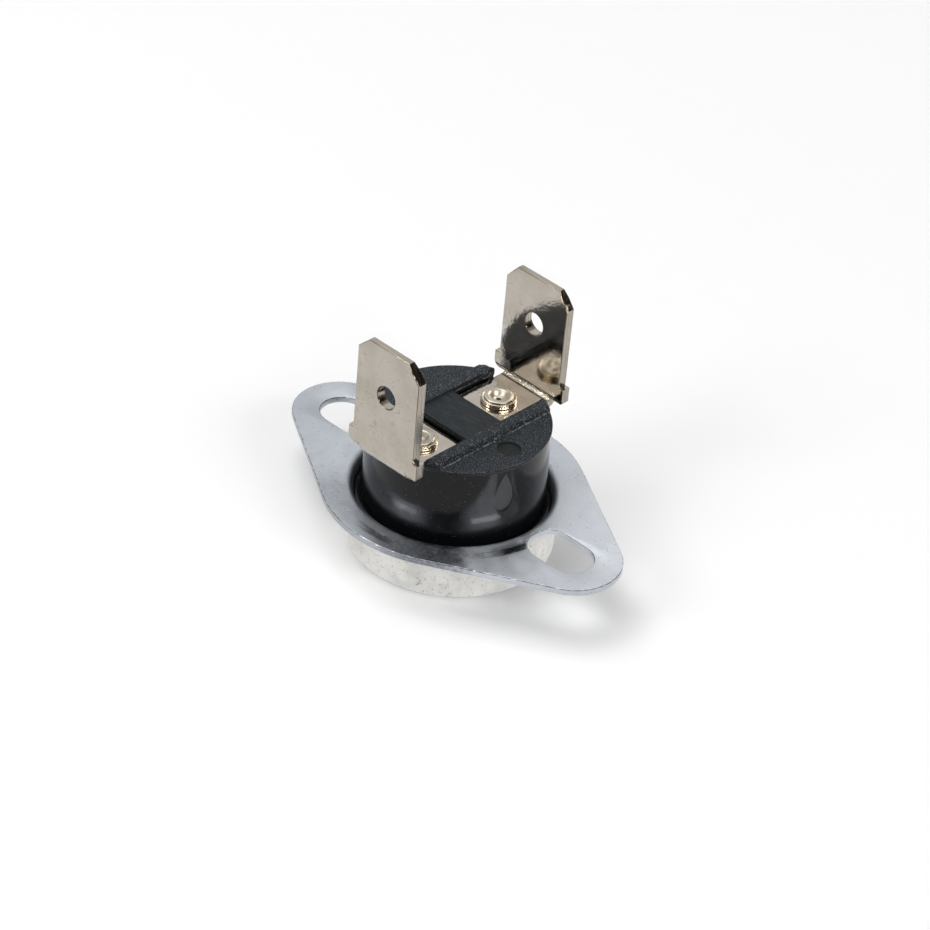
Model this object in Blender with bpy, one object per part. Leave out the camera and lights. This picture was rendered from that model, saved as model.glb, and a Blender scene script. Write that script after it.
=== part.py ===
# Snap-disc safety switch for a heater: a drawn aluminium flange cup holds a black moulded case.
# Two bent quick-connect terminals are riveted to the case, and the contacts and the disc are inside.
# +X runs along the flange, +Z up out of the cup, and the origin is the centre of the cup's underside.

import math

import bmesh
import bpy
from mathutils import Vector

MM = 0.001

# Flange and cup, one sheet
SHEET = 0.5 * MM
FLANGE_LENGTH = 32.5 * MM
FLANGE_WIDTH = 20.56 * MM
FLANGE_END_RADIUS = 4.0 * MM
SLOT_CUP_GAP = 0.87 * MM
SLOT_END_LAND = 2.2 * MM
SLOT_PROPORTION = 0.66364
CUP_DEPTH = 5.1 * MM
MOUTH_GAP = 0.56 * MM
CUP_WALL_SLOPE = math.radians(1)
RIM_FILLET = 0.62 * MM
FLOOR_FILLET = 0.08 * MM

# Clearance between pieces that seat on each other, and between the case's base and the cup's wall
SEAT_GAP = 0.03 * MM
WALL_GAP = 0.12 * MM

# Snap disc, its guide and the push pin
DISC_EDGE_GAP = 0.98 * MM
DISC_SHEET = 0.2 * MM
DISC_DISH = 0.3 * MM
DISC_TRAVEL = 0.3 * MM
GUIDE_PLATE = 1.2 * MM
GUIDE_SKIRT = 0.4 * MM
GUIDE_COLLAR_HEIGHT = 1.5 * MM
GUIDE_COLLAR_WALL = 0.9 * MM
PIN_RADIUS = 0.8 * MM
PIN_CLEARANCE = 0.05 * MM

# Moulded case
CASE_RISE = 6.0 * MM
CASE_TOP_RADIUS = 7.0 * MM
CASE_DRAFT = 0.12 * MM
FOOT_FILLET_HEIGHT = 0.3 * MM
BASE_SINK = 1.1 * MM
LIP_REACH = 0.06 * MM
LIP_THICKNESS = 0.25 * MM
CHANNEL_WIDTH = 5.3 * MM
CHANNEL_DEPTH = 1.08 * MM
RIB_HEIGHT = 0.46 * MM
RIB_TOP_WIDTH = 1.0 * MM
RIB_FOOT_WIDTH = 1.2 * MM
RIB_END_ROUND = 0.25 * MM
WASHER_BLOCK_GAP = 0.97 * MM
BLOCK_SINK = 0.2 * MM
CASE_ROOF = 1.2 * MM
CASE_WALL = 1.1 * MM
EJECTOR_MARK_RADIUS = 0.93 * MM
EJECTOR_MARK_PLACE = 5.2 * MM
EJECTOR_MARK_DEPTH = 0.06 * MM

# Terminals
TAB_SHEET = 0.8 * MM
TAB_WIDTH = 6.3 * MM
TAB_LENGTH = 8.2 * MM
TAB_SPAN = 16.4 * MM
TAB_HOLE_RADIUS = 0.93 * MM
TAB_HOLE_DROP = 3.96 * MM
TAB_CORNER_ACROSS = 1.03 * MM
TAB_CORNER_DOWN = 1.2 * MM
TAB_TIP_SHEET = 0.55 * MM
TAB_LEAD_IN = 0.6 * MM
LUG_SPAN = 7.2 * MM
LUG_HEIGHT = 1.35 * MM
LUG_CORNER_RADIUS = 0.6 * MM
LUG_LIFT = 0.05 * MM
NOTCH_WIDTH = 0.1 * MM
NOTCH_HEIGHT = 0.32 * MM
PLATE_WIDTH = 4.9 * MM
PLATE_END_GAP = 0.22 * MM
BEND_RADIUS = 0.3 * MM

# Rivets and washers
TAIL_WALL_GAP = 0.5 * MM
SHANK_RADIUS = 0.8 * MM
SHANK_CLEARANCE = 0.05 * MM
HEAD_RADIUS = 1.17 * MM
HEAD_HEIGHT = 0.09 * MM
FUNNEL_RADIUS = 0.72 * MM
FUNNEL_DEPTH = 0.5 * MM
EYELET_RADIUS = 0.2 * MM
EYELET_DEPTH = 1.6 * MM
WASHER_RADIUS = 1.4 * MM
WASHER_SHEET = 0.36 * MM
WASHER_LIP = 0.12 * MM
WASHER_GROOVE = 0.05 * MM
TAIL_RADIUS = 1.15 * MM
TAIL_THICKNESS = 0.4 * MM

# Contacts inside the case
ARM_SHEET = 0.2 * MM
ARM_WIDTH = 3.2 * MM
ARM_ROOT_GAP = 0.12 * MM
ARM_JOG = 0.65 * MM
ARM_TIP_PAST_CONTACT = 0.85 * MM
ARM_TIP_GAP = 0.07 * MM
STRIP_SHEET = 0.4 * MM
CONTACT_RADIUS = 0.65 * MM
CONTACT_THICKNESS = 0.38 * MM

# How finely round pieces are divided
RING_STEPS = 84
ROUND_STEPS = 72
SMALL_STEPS = 24
FILLET_STEPS = 5

# Levels, radii and lengths that follow from the sizes above
CASE_FOOT_RADIUS = CASE_TOP_RADIUS + CASE_DRAFT
CUP_MOUTH_RADIUS = CASE_FOOT_RADIUS + MOUTH_GAP
DISC_RADIUS = CUP_MOUTH_RADIUS - DISC_EDGE_GAP
CHAMBER_RADIUS = CASE_TOP_RADIUS - CASE_WALL
RIVET_SPAN = 2 * (CHAMBER_RADIUS - TAIL_RADIUS - TAIL_WALL_GAP)
BLOCK_LENGTH = RIVET_SPAN - 2 * (WASHER_RADIUS + WASHER_BLOCK_GAP)
SLOT_INNER = CUP_MOUTH_RADIUS + SLOT_CUP_GAP
SLOT_OUTER = FLANGE_LENGTH / 2 - SLOT_END_LAND
SLOT_RADIUS = (SLOT_OUTER - SLOT_INNER) * SLOT_PROPORTION / 2
FLANGE_UNDERSIDE = CUP_DEPTH - SHEET
DISC_BOTTOM = SHEET + SEAT_GAP
DISC_TOP = DISC_BOTTOM + DISC_SHEET
GUIDE_BOTTOM = DISC_TOP + DISC_DISH + DISC_TRAVEL + 4 * SEAT_GAP
GUIDE_TOP = GUIDE_BOTTOM + GUIDE_PLATE
CASE_BOTTOM = GUIDE_TOP + SEAT_GAP
BASE_TOP = CUP_DEPTH - BASE_SINK
SHELF = CUP_DEPTH + CASE_RISE
RIB_TOP = SHELF + RIB_HEIGHT
BLOCK_TOP = RIB_TOP - BLOCK_SINK
CHANNEL_FLOOR = SHELF - CHANNEL_DEPTH
CHAMBER_TOP = CHANNEL_FLOOR - CASE_ROOF
PLATE_BOTTOM = CHANNEL_FLOOR + SEAT_GAP
PLATE_TOP = PLATE_BOTTOM + TAB_SHEET
LUG_BOTTOM = PLATE_TOP + LUG_LIFT
LUG_TOP = LUG_BOTTOM + LUG_HEIGHT
TAB_TOP = LUG_TOP + TAB_LENGTH
WASHER_BOTTOM = PLATE_TOP + SEAT_GAP
HEAD_BOTTOM = WASHER_BOTTOM + WASHER_SHEET + SEAT_GAP
HEAD_TOP = HEAD_BOTTOM + HEAD_HEIGHT
RIVET_PLACE = RIVET_SPAN / 2
STRIP_DROP = RIVET_PLACE - TAIL_RADIUS - STRIP_SHEET - SEAT_GAP
CONTACT_PLACE = STRIP_DROP - ARM_TIP_GAP - ARM_TIP_PAST_CONTACT
ARM_ROOT_TOP = CHAMBER_TOP - ARM_ROOT_GAP
ARM_AXIS = ARM_ROOT_TOP - ARM_SHEET / 2
ARM_TOP = ARM_ROOT_TOP - ARM_JOG
ARM_BOTTOM = ARM_TOP - ARM_SHEET
STRIP_ROOT_TOP = CHAMBER_TOP - SEAT_GAP
MOVING_CONTACT_TOP = ARM_BOTTOM - SEAT_GAP
FIXED_CONTACT_TOP = MOVING_CONTACT_TOP - CONTACT_THICKNESS - SEAT_GAP
STRIP_TOP = FIXED_CONTACT_TOP - CONTACT_THICKNESS - SEAT_GAP
TAIL_TOP = min(ARM_ROOT_TOP - ARM_SHEET - ARM_ROOT_GAP, STRIP_ROOT_TOP - STRIP_SHEET - SEAT_GAP)


def linear(hex_colour):
    """An sRGB hex colour as linear red, green, blue and alpha."""
    parts = [int(hex_colour[i : i + 2], 16) / 255 for i in (0, 2, 4)]
    return [c / 12.92 if c <= 0.04045 else ((c + 0.055) / 1.055) ** 2.4 for c in parts] + [1.0]


def finish(obj, hex_colour, roughness, metallic):
    """Gives the object its own Principled material."""
    material = bpy.data.materials.new(obj.name)
    material.use_nodes = True
    shader = material.node_tree.nodes["Principled BSDF"]
    shader.inputs["Base Color"].default_value = linear(hex_colour)
    shader.inputs["Roughness"].default_value = roughness
    shader.inputs["Metallic"].default_value = metallic
    material.diffuse_color = linear(hex_colour)
    obj.data.materials.append(material)


def place(name, bm, smooth=True):
    """Turns a bmesh into a named object in the scene."""
    mesh = bpy.data.meshes.new(name)
    bm.to_mesh(mesh)
    bm.free()
    if smooth:
        mesh.shade_smooth()
        mesh.set_sharp_from_angle(angle=math.radians(32))
    obj = bpy.data.objects.new(name, mesh)
    bpy.context.scene.collection.objects.link(obj)
    return obj


def cut(obj, cutter):
    """Takes the cutter's shape out of the object."""
    cutter.hide_render = True
    cutter.display_type = "WIRE"
    modifier = obj.modifiers.new(cutter.name, "BOOLEAN")
    modifier.operation = "DIFFERENCE"
    modifier.solver = "EXACT"
    modifier.object = cutter


def arc(centre, radius, start, end, steps):
    """Points on an arc, with the angles in radians."""
    turn = [start + (end - start) * i / steps for i in range(steps + 1)]
    return [(centre[0] + radius * math.cos(a), centre[1] + radius * math.sin(a)) for a in turn]


def filleted(before, corner, after, radius, steps=FILLET_STEPS):
    """The arc that rounds the corner of the path before, corner, after."""
    corner = Vector(corner)
    back = (Vector(before) - corner).normalized()
    ahead = (Vector(after) - corner).normalized()
    half = back.angle(ahead) / 2
    centre = corner + (back + ahead).normalized() * radius / math.sin(half)
    first = corner + back * radius / math.tan(half) - centre
    last = corner + ahead * radius / math.tan(half) - centre
    turn = math.atan2(first.x * last.y - first.y * last.x, first.dot(last))
    begin = math.atan2(first.y, first.x)
    return arc(centre, radius, begin, begin + turn, steps)


def turned(name, profile, steps):
    """A body turned about Z from (radius, height) points, from its top on the axis to its bottom.

    A profile that starts and ends away from the axis is closed into a ring.
    """
    bm = bmesh.new()
    points = [bm.verts.new((r, 0, z)) for r, z in profile]
    for a, b in zip(points, points[1:]):
        bm.edges.new((a, b))
    if profile[0][0] > 0:
        bm.edges.new((points[-1], points[0]))
    obj = place(name, bm, smooth=False)
    screw = obj.modifiers.new("turn", "SCREW")
    screw.axis = "Z"
    screw.steps = steps
    screw.render_steps = steps
    screw.use_merge_vertices = True
    screw.merge_threshold = 0.000001
    screw.use_smooth_shade = True
    return obj


def prism(name, outline, low, high, across):
    """A straight body: the outline's points, drawn in the plane across the named axis, from low to high."""
    order = {"X": lambda u, v, w: (w, u, v), "Y": lambda u, v, w: (u, w, v), "Z": lambda u, v, w: (u, v, w)}
    bm = bmesh.new()
    face = bm.faces.new([bm.verts.new(order[across](u, v, low)) for u, v in outline])
    made = bmesh.ops.extrude_face_region(bm, geom=[face])
    moved = [v for v in made["geom"] if isinstance(v, bmesh.types.BMVert)]
    bmesh.ops.translate(bm, verts=moved, vec=Vector(order[across](0, 0, high - low)))
    bmesh.ops.recalc_face_normals(bm, faces=bm.faces)
    return place(name, bm, smooth=False)


def rod(name, centre, radius, low, high, across="Z", steps=SMALL_STEPS):
    """A straight round body along the named axis."""
    circle = arc(centre, radius, 0, 2 * math.pi, steps)[:-1]
    return prism(name, circle, low, high, across)


def cup_wall_radius(height):
    """Radius of the cup wall's inner face at a height."""
    return CUP_MOUTH_RADIUS - (CUP_DEPTH - height) * math.tan(CUP_WALL_SLOPE)


def flange_reach(angle):
    """Distance from the centre to the flange's edge: a middle arc, two end arcs and their tangents."""
    middle = FLANGE_WIDTH / 2
    offset = FLANGE_LENGTH / 2 - FLANGE_END_RADIUS
    tangent = math.acos((middle - FLANGE_END_RADIUS) / offset)
    x = abs(math.cos(angle))
    y = abs(math.sin(angle))
    ray = math.atan2(y, x)
    if ray >= tangent:
        return middle
    straight = middle / math.cos(ray - tangent)
    if straight * math.sin(ray) >= FLANGE_END_RADIUS * math.sin(tangent):
        return straight
    return offset * x + math.sqrt(FLANGE_END_RADIUS**2 - (offset * y) ** 2)


def flange_angles():
    """Angles of the cup's rings: even steps, and twice as fine over the flange's narrow ends."""
    step = 2 * math.pi / RING_STEPS
    even = [i * step for i in range(RING_STEPS)]
    fine = [a + step / 2 for a in even if abs(math.cos(a + step / 2)) > math.cos(math.radians(20))]
    return sorted(even + fine)


def make_flange_cup():
    """One sheet: a turned cup whose rim is drawn out to the flange's outline, with a slot in each end."""
    far = CUP_MOUTH_RADIUS + 2 * RIM_FILLET
    mouth = (CUP_MOUTH_RADIUS, CUP_DEPTH)
    floor = (cup_wall_radius(SHEET), SHEET)
    wall = SHEET / math.cos(CUP_WALL_SLOPE)
    under_mouth = (cup_wall_radius(FLANGE_UNDERSIDE) + wall, FLANGE_UNDERSIDE)
    under_floor = (cup_wall_radius(0) + wall, 0)
    inside = filleted((0, SHEET), floor, mouth, FLOOR_FILLET, 2)
    inside += filleted(floor, mouth, (far, CUP_DEPTH), RIM_FILLET)
    outside = filleted((far, FLANGE_UNDERSIDE), under_mouth, under_floor, RIM_FILLET - SHEET, 3)
    outside += filleted(under_mouth, under_floor, (0, 0), FLOOR_FILLET + SHEET, 3)
    bm = bmesh.new()
    rings = []
    angles = flange_angles()
    section = inside + [(None, CUP_DEPTH), (None, FLANGE_UNDERSIDE)] + outside
    for radius, height in section:
        ring = []
        for angle in angles:
            reach = flange_reach(angle) if radius is None else radius
            ring.append(bm.verts.new((reach * math.cos(angle), reach * math.sin(angle), height)))
        rings.append(ring)
    for lower, upper in zip(rings, rings[1:]):
        for i in range(len(angles)):
            j = (i + 1) % len(angles)
            bm.faces.new((lower[i], lower[j], upper[j], upper[i]))
    bm.faces.new(rings[0])
    bm.faces.new(rings[-1])
    bmesh.ops.recalc_face_normals(bm, faces=bm.faces)
    cup = place("flange_cup", bm)
    for side, end in ((-1, "left"), (1, "right")):
        cut(cup, make_slot_cutter(side, f"slot_{end}"))
    finish(cup, "C9CDD4", 0.38, 1.0)


def make_slot_cutter(side, name):
    """An obround prism through one end of the flange, between the cup's mouth and the land at the end."""
    straight = (SLOT_OUTER - SLOT_INNER) / 2 - SLOT_RADIUS
    centre = side * (SLOT_OUTER + SLOT_INNER) / 2
    outline = arc((centre + straight, 0), SLOT_RADIUS, -math.pi / 2, math.pi / 2, 11)
    outline += arc((centre - straight, 0), SLOT_RADIUS, math.pi / 2, 3 * math.pi / 2, 11)
    return prism(name, outline, FLANGE_UNDERSIDE - 2 * SHEET, CUP_DEPTH + SHEET, "Z")


def case_profile():
    """The moulding's outer side: rib tops, shelf lip, a drafted wall, and a fillet to the base's ledge."""
    base_bottom_radius = cup_wall_radius(CASE_BOTTOM) - WALL_GAP
    base_top_radius = base_bottom_radius + (BASE_TOP - CASE_BOTTOM) * math.tan(CUP_WALL_SLOPE) / 4
    ledge = base_top_radius - CASE_FOOT_RADIUS
    profile = [(0, RIB_TOP)]
    rib_corner = (CASE_TOP_RADIUS, RIB_TOP)
    profile += filleted((0, RIB_TOP), rib_corner, (CASE_TOP_RADIUS, SHELF), RIB_END_ROUND, 3)
    profile += [(CASE_TOP_RADIUS, SHELF), (CASE_TOP_RADIUS + LIP_REACH, SHELF)]
    profile += [(CASE_TOP_RADIUS + LIP_REACH, SHELF - LIP_THICKNESS)]
    profile += [(CASE_TOP_RADIUS, SHELF - LIP_THICKNESS)]
    for i in range(FILLET_STEPS + 1):
        turn = i / FILLET_STEPS * math.pi / 2
        radius = CASE_FOOT_RADIUS + ledge * (1 - math.cos(turn))
        profile.append((radius, BASE_TOP + FOOT_FILLET_HEIGHT * (1 - math.sin(turn))))
    profile += [(base_bottom_radius, CASE_BOTTOM), (0, CASE_BOTTOM)]
    return profile


def make_case():
    """Black moulding: turned outside, then the shelves, the channel, the chamber and the holes are cut."""
    case = turned("case", case_profile(), ROUND_STEPS)
    far = CASE_TOP_RADIUS + 1 * MM
    over = RIB_TOP + 1 * MM
    half = CHANNEL_WIDTH / 2
    foot = half + RIB_FOOT_WIDTH
    top = half + RIB_TOP_WIDTH + (RIB_TOP_WIDTH - RIB_FOOT_WIDTH) * 1 * MM / RIB_HEIGHT
    for side, name in ((-1, "left"), (1, "right")):
        outline = [(side * foot, SHELF), (side * far, SHELF), (side * far, over), (side * top, over)]
        cut(case, prism(f"shelf_{name}", outline, -far, far, "Y"))
    middle = BLOCK_LENGTH / 2
    for low, high, level, name in (
        (-far, -middle, CHANNEL_FLOOR, "front"),
        (middle, far, CHANNEL_FLOOR, "rear"),
        (-middle, middle, BLOCK_TOP, "block"),
    ):
        outline = [(-half, level), (half, level), (half, over), (-half, over)]
        cut(case, prism(f"channel_{name}", outline, low - 0.001 * MM, high + 0.001 * MM, "Y"))
    cut(case, rod("chamber", (0, 0), CHAMBER_RADIUS, CASE_BOTTOM - SHEET, CHAMBER_TOP, steps=48))
    hole = SHANK_RADIUS + SHANK_CLEARANCE
    for side, name in ((-1, "front"), (1, "rear")):
        place_y = (0, side * RIVET_PLACE)
        cut(case, rod(f"rivet_hole_{name}", place_y, hole, CHAMBER_TOP - SHEET, CHANNEL_FLOOR + SHEET))
    mark = (EJECTOR_MARK_PLACE, 0)
    cut(case, rod("ejector_mark", mark, EJECTOR_MARK_RADIUS, SHELF - EJECTOR_MARK_DEPTH, SHELF + SHEET))
    finish(case, "1E2023", 0.42, 0.0)


def terminal_blank(straight_start):
    """Half of the flat blank's outline from the inner end to the tip, as (across, along) points."""
    half_plate = PLATE_WIDTH / 2
    half_tab = TAB_WIDTH / 2
    half_lug = LUG_SPAN / 2
    bend_top = PLATE_TOP + BEND_RADIUS

    def along(height):
        return straight_start + height - bend_top

    lug_corner = filleted(
        (half_plate, along(LUG_BOTTOM)),
        (half_lug, along(LUG_BOTTOM)),
        (half_lug, along(LUG_TOP)),
        LUG_CORNER_RADIUS,
        FILLET_STEPS,
    )
    return [
        (half_plate, 0),
        (half_plate, along(LUG_BOTTOM + NOTCH_HEIGHT)),
        (half_plate + NOTCH_WIDTH, along(LUG_BOTTOM + NOTCH_HEIGHT)),
        (half_plate + NOTCH_WIDTH, along(LUG_BOTTOM)),
        *lug_corner,
        (half_lug, along(LUG_TOP)),
        (half_tab, along(LUG_TOP)),
        (half_tab, along(TAB_TOP - TAB_CORNER_DOWN)),
        (half_tab - TAB_CORNER_ACROSS, along(TAB_TOP)),
    ]


def make_terminal(name, turn):
    """A flat blank, folded up once over the bend radius, thinned at the tip and pierced."""
    inner_end = BLOCK_LENGTH / 2 + PLATE_END_GAP
    bend_start = TAB_SPAN / 2 - TAB_SHEET - BEND_RADIUS - inner_end
    middle_radius = BEND_RADIUS + TAB_SHEET / 2
    straight_start = bend_start + middle_radius * math.pi / 2
    half = terminal_blank(straight_start)
    outline = half + [(-x, v) for x, v in reversed(half)]
    bm = bmesh.new()
    face = bm.faces.new([bm.verts.new((x, v, 0)) for x, v in outline])
    made = bmesh.ops.extrude_face_region(bm, geom=[face])
    moved = [v for v in made["geom"] if isinstance(v, bmesh.types.BMVert)]
    bmesh.ops.translate(bm, verts=moved, vec=(0, 0, TAB_SHEET))
    lead_in = straight_start + TAB_TOP - TAB_LEAD_IN - PLATE_TOP - BEND_RADIUS
    folds = [bend_start + (straight_start - bend_start) * i / 6 for i in range(7)]
    for along in [*folds, lead_in]:
        everything = bm.verts[:] + bm.edges[:] + bm.faces[:]
        bmesh.ops.bisect_plane(bm, geom=everything, dist=1e-8, plane_co=(0, along, 0), plane_no=(0, 1, 0))
    centre_y = -(inner_end + bend_start)
    centre_z = PLATE_TOP + BEND_RADIUS
    for vert in bm.verts:
        across, along, up = vert.co
        radius = BEND_RADIUS + TAB_SHEET - up
        beyond = along - straight_start
        in_lug = abs(across) > PLATE_WIDTH / 2 + NOTCH_WIDTH / 2
        if beyond >= -1e-9 or in_lug:
            if along > lead_in + 1e-9:
                radius = BEND_RADIUS + TAB_SHEET / 2 + (TAB_SHEET / 2 - up) * TAB_TIP_SHEET / TAB_SHEET
            vert.co = (across, centre_y - radius, centre_z + beyond)
        elif along > bend_start:
            angle = (along - bend_start) / middle_radius
            vert.co = (across, centre_y - radius * math.sin(angle), centre_z - radius * math.cos(angle))
        else:
            vert.co = (across, -(inner_end + along), PLATE_BOTTOM + up)
    bmesh.ops.recalc_face_normals(bm, faces=bm.faces)
    terminal = place(name, bm, smooth=False)
    hole_height = TAB_TOP - TAB_HOLE_DROP
    hole = rod(f"{name}_hole", (0, hole_height), TAB_HOLE_RADIUS, -TAB_SPAN / 2 - SHEET, centre_y, "Y")
    hole.parent = terminal
    cut(terminal, hole)
    shank = SHANK_RADIUS + SHANK_CLEARANCE
    low, high = CHANNEL_FLOOR - SHEET, PLATE_TOP + SHEET
    rivet_hole = rod(f"{name}_rivet_hole", (0, -RIVET_PLACE), shank, low, high)
    rivet_hole.parent = terminal
    cut(terminal, rivet_hole)
    terminal.rotation_euler.z = turn
    finish(terminal, "B3ABA0", 0.24, 1.0)


def make_washer(name, y):
    """A ring under the rolled head: its edges are broken, and a groove sets off the lip at its top."""
    inner = SHANK_RADIUS + SHANK_CLEARANCE
    top = WASHER_BOTTOM + WASHER_SHEET
    groove = top - WASHER_LIP
    profile = [
        (inner, top),
        (WASHER_RADIUS - WASHER_GROOVE, top),
        (WASHER_RADIUS, top - WASHER_GROOVE),
        (WASHER_RADIUS, groove + WASHER_GROOVE / 2),
        (WASHER_RADIUS - WASHER_GROOVE, groove),
        (WASHER_RADIUS, groove - WASHER_GROOVE / 2),
        (WASHER_RADIUS, WASHER_BOTTOM + WASHER_GROOVE),
        (WASHER_RADIUS - WASHER_GROOVE, WASHER_BOTTOM),
        (inner, WASHER_BOTTOM),
    ]
    washer = turned(name, profile, SMALL_STEPS)
    washer.location.y = y
    finish(washer, "B8B2A6", 0.22, 1.0)


def make_rivet(name, y):
    """A tubular rivet: rolled head with a funnel, a shank through the roof, and a flat tail."""
    middle = (FUNNEL_RADIUS + HEAD_RADIUS) / 2
    half_roll = (HEAD_RADIUS - FUNNEL_RADIUS) / 2
    crown = HEAD_BOTTOM + HEAD_HEIGHT / 2
    head = [(middle + half_roll * x, crown + HEAD_HEIGHT / 2 * z) for x, z in arc((0, 0), 1, math.pi, 0, 5)]
    profile = [(0, HEAD_TOP - EYELET_DEPTH), (EYELET_RADIUS, HEAD_TOP - EYELET_DEPTH)]
    profile += [(EYELET_RADIUS, HEAD_TOP - FUNNEL_DEPTH), *head, (HEAD_RADIUS, HEAD_BOTTOM)]
    profile += [(SHANK_RADIUS, HEAD_BOTTOM), (SHANK_RADIUS, TAIL_TOP), (TAIL_RADIUS, TAIL_TOP)]
    profile += [(TAIL_RADIUS, TAIL_TOP - TAIL_THICKNESS), (0, TAIL_TOP - TAIL_THICKNESS)]
    rivet = turned(name, profile, SMALL_STEPS)
    rivet.location.y = y
    finish(rivet, "C4C0B8", 0.2, 1.0)


def ribbon(path, sheet):
    """The closed outline of a bent strip: the path is its top side, and the sheet lies below it."""
    points = [Vector(p) for p in path]
    below = []
    for i, point in enumerate(points):
        runs = []
        if i > 0:
            runs.append((point - points[i - 1]).normalized())
        if i < len(points) - 1:
            runs.append((points[i + 1] - point).normalized())
        normals = [Vector((run.y, -run.x)) for run in runs]
        mitre = sum(normals, Vector((0, 0))).normalized()
        below.append(point + mitre * sheet / mitre.dot(normals[0]))
    return [tuple(p) for p in points + below[::-1]]


def make_arm():
    """Leaf spring riveted under the roof: it steps down past the rivet and ends over the fixed contact."""
    root = -RIVET_PLACE - TAIL_RADIUS
    bend = -RIVET_PLACE + TAIL_RADIUS + ARM_SHEET
    tip = CONTACT_PLACE + ARM_TIP_PAST_CONTACT
    path = [(root, ARM_ROOT_TOP), (bend, ARM_ROOT_TOP), (bend + 2 * ARM_JOG, ARM_TOP), (tip, ARM_TOP)]
    outline = [(y + RIVET_PLACE, z - ARM_AXIS) for y, z in ribbon(path, ARM_SHEET)]
    arm = prism("contact_arm", outline, -ARM_WIDTH / 2, ARM_WIDTH / 2, "X")
    hole = SHANK_RADIUS + 2 * SHANK_CLEARANCE
    cutter = rod("contact_arm_hole", (0, 0), hole, -2 * ARM_SHEET, 2 * ARM_SHEET)
    cutter.parent = arm
    cut(arm, cutter)
    arm.location = (0, -RIVET_PLACE, ARM_AXIS)
    finish(arm, "B88A4C", 0.3, 1.0)
    return arm


def make_strip():
    """Strip riveted under the roof at the rear. It drops beside the tail and carries the fixed contact."""
    root = RIVET_PLACE + TAIL_RADIUS
    end = CONTACT_PLACE - CONTACT_RADIUS - SEAT_GAP
    path = [(end, STRIP_TOP), (STRIP_DROP, STRIP_TOP), (STRIP_DROP, STRIP_ROOT_TOP), (root, STRIP_ROOT_TOP)]
    strip = prism("fixed_contact_plate", ribbon(path, STRIP_SHEET), -ARM_WIDTH / 2, ARM_WIDTH / 2, "X")
    hole = SHANK_RADIUS + SHANK_CLEARANCE
    low = STRIP_ROOT_TOP - 2 * STRIP_SHEET
    cut(strip, rod("fixed_contact_plate_hole", (0, RIVET_PLACE), hole, low, STRIP_ROOT_TOP + STRIP_SHEET))
    finish(strip, "B9975B", 0.3, 1.0)


def make_contact(name, top, parent=None):
    """A silver contact button with broken edges."""
    edge = CONTACT_THICKNESS / 4
    low = top - CONTACT_THICKNESS
    profile = [(0, top), (CONTACT_RADIUS - edge, top), (CONTACT_RADIUS, top - edge)]
    profile += [(CONTACT_RADIUS, low + edge), (CONTACT_RADIUS - edge, low), (0, low)]
    contact = turned(name, profile, 20)
    contact.location = (0, CONTACT_PLACE, 0)
    if parent:
        contact.parent = parent
        contact.location = Vector((0, CONTACT_PLACE, 0)) - parent.location
    finish(contact, "D6D6D2", 0.28, 1.0)


def make_pin():
    """Ceramic pin with domed ends, from the disc's middle to the underside of the arm."""
    low = DISC_TOP + SEAT_GAP
    high = ARM_BOTTOM - SEAT_GAP
    dome = PIN_RADIUS / 3
    turns = (0, 0.4, 0.8, 1.2, math.pi / 2)
    upper = [(PIN_RADIUS * math.sin(a), high - dome * (1 - math.cos(a))) for a in turns]
    lower = [(r, low + high - z) for r, z in reversed(upper)]
    pin = turned("push_pin", upper + lower, 24)
    finish(pin, "E9E6DC", 0.5, 0.0)


def make_guide():
    """Moulded plate over the disc: a skirt that seats in the cup, and a collar that guides the pin."""
    hole = PIN_RADIUS + PIN_CLEARANCE
    collar = hole + GUIDE_COLLAR_WALL
    collar_top = GUIDE_TOP + GUIDE_COLLAR_HEIGHT
    skirt_bottom = GUIDE_BOTTOM - GUIDE_SKIRT
    outer_top = cup_wall_radius(GUIDE_BOTTOM) - WALL_GAP
    outer_low = cup_wall_radius(skirt_bottom) - WALL_GAP
    skirt_inner = DISC_RADIUS + 2 * WALL_GAP
    profile = [(hole, collar_top), (collar, collar_top), (collar, GUIDE_TOP), (outer_top, GUIDE_TOP)]
    profile += [(outer_top, GUIDE_BOTTOM), (outer_low, skirt_bottom), (skirt_inner, skirt_bottom)]
    profile += [(skirt_inner, GUIDE_BOTTOM), (hole, GUIDE_BOTTOM)]
    guide = turned("disc_guide", profile, 40)
    finish(guide, "5A4636", 0.55, 0.0)


def make_disc():
    """Bimetal disc, dished with its middle down on the cup's floor."""
    dish = [(DISC_RADIUS * i / 4, DISC_BOTTOM + DISC_DISH * (i / 4) ** 2) for i in range(5)]
    top = [(r, z + DISC_SHEET) for r, z in dish]
    disc = turned("bimetal_disc", top + dish[::-1], 40)
    finish(disc, "9C9A94", 0.3, 1.0)


def main():
    for obj in list(bpy.data.objects):
        bpy.data.objects.remove(obj, do_unlink=True)
    make_flange_cup()
    make_case()
    make_terminal("terminal_front", 0)
    make_terminal("terminal_rear", math.pi)
    for name, side in (("front", -1), ("rear", 1)):
        make_washer(f"washer_{name}", side * RIVET_PLACE)
        make_rivet(f"rivet_{name}", side * RIVET_PLACE)
    arm = make_arm()
    make_contact("moving_contact", MOVING_CONTACT_TOP, arm)
    make_strip()
    make_contact("fixed_contact", FIXED_CONTACT_TOP)
    make_pin()
    make_guide()
    make_disc()


main()
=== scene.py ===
# %% [markdown]
# # A snap-disc switch for a heater
#
# The real object is a small heat switch. A drawn aluminium cup with a flange holds a black
# moulding, and two bent tabs are riveted on top of it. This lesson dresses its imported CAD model:
# it keeps the frame, builds finer pieces over it, and gives every surface its own finish.
#
# One way would be to change the CAD solids until they look right. They stay as they are here,
# because they carry the sizes and the joints, and the finer pieces stand for them in the picture.

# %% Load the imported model
import math

import bmesh
import bpy
import numpy as np
from mathutils import Matrix, Vector


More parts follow.
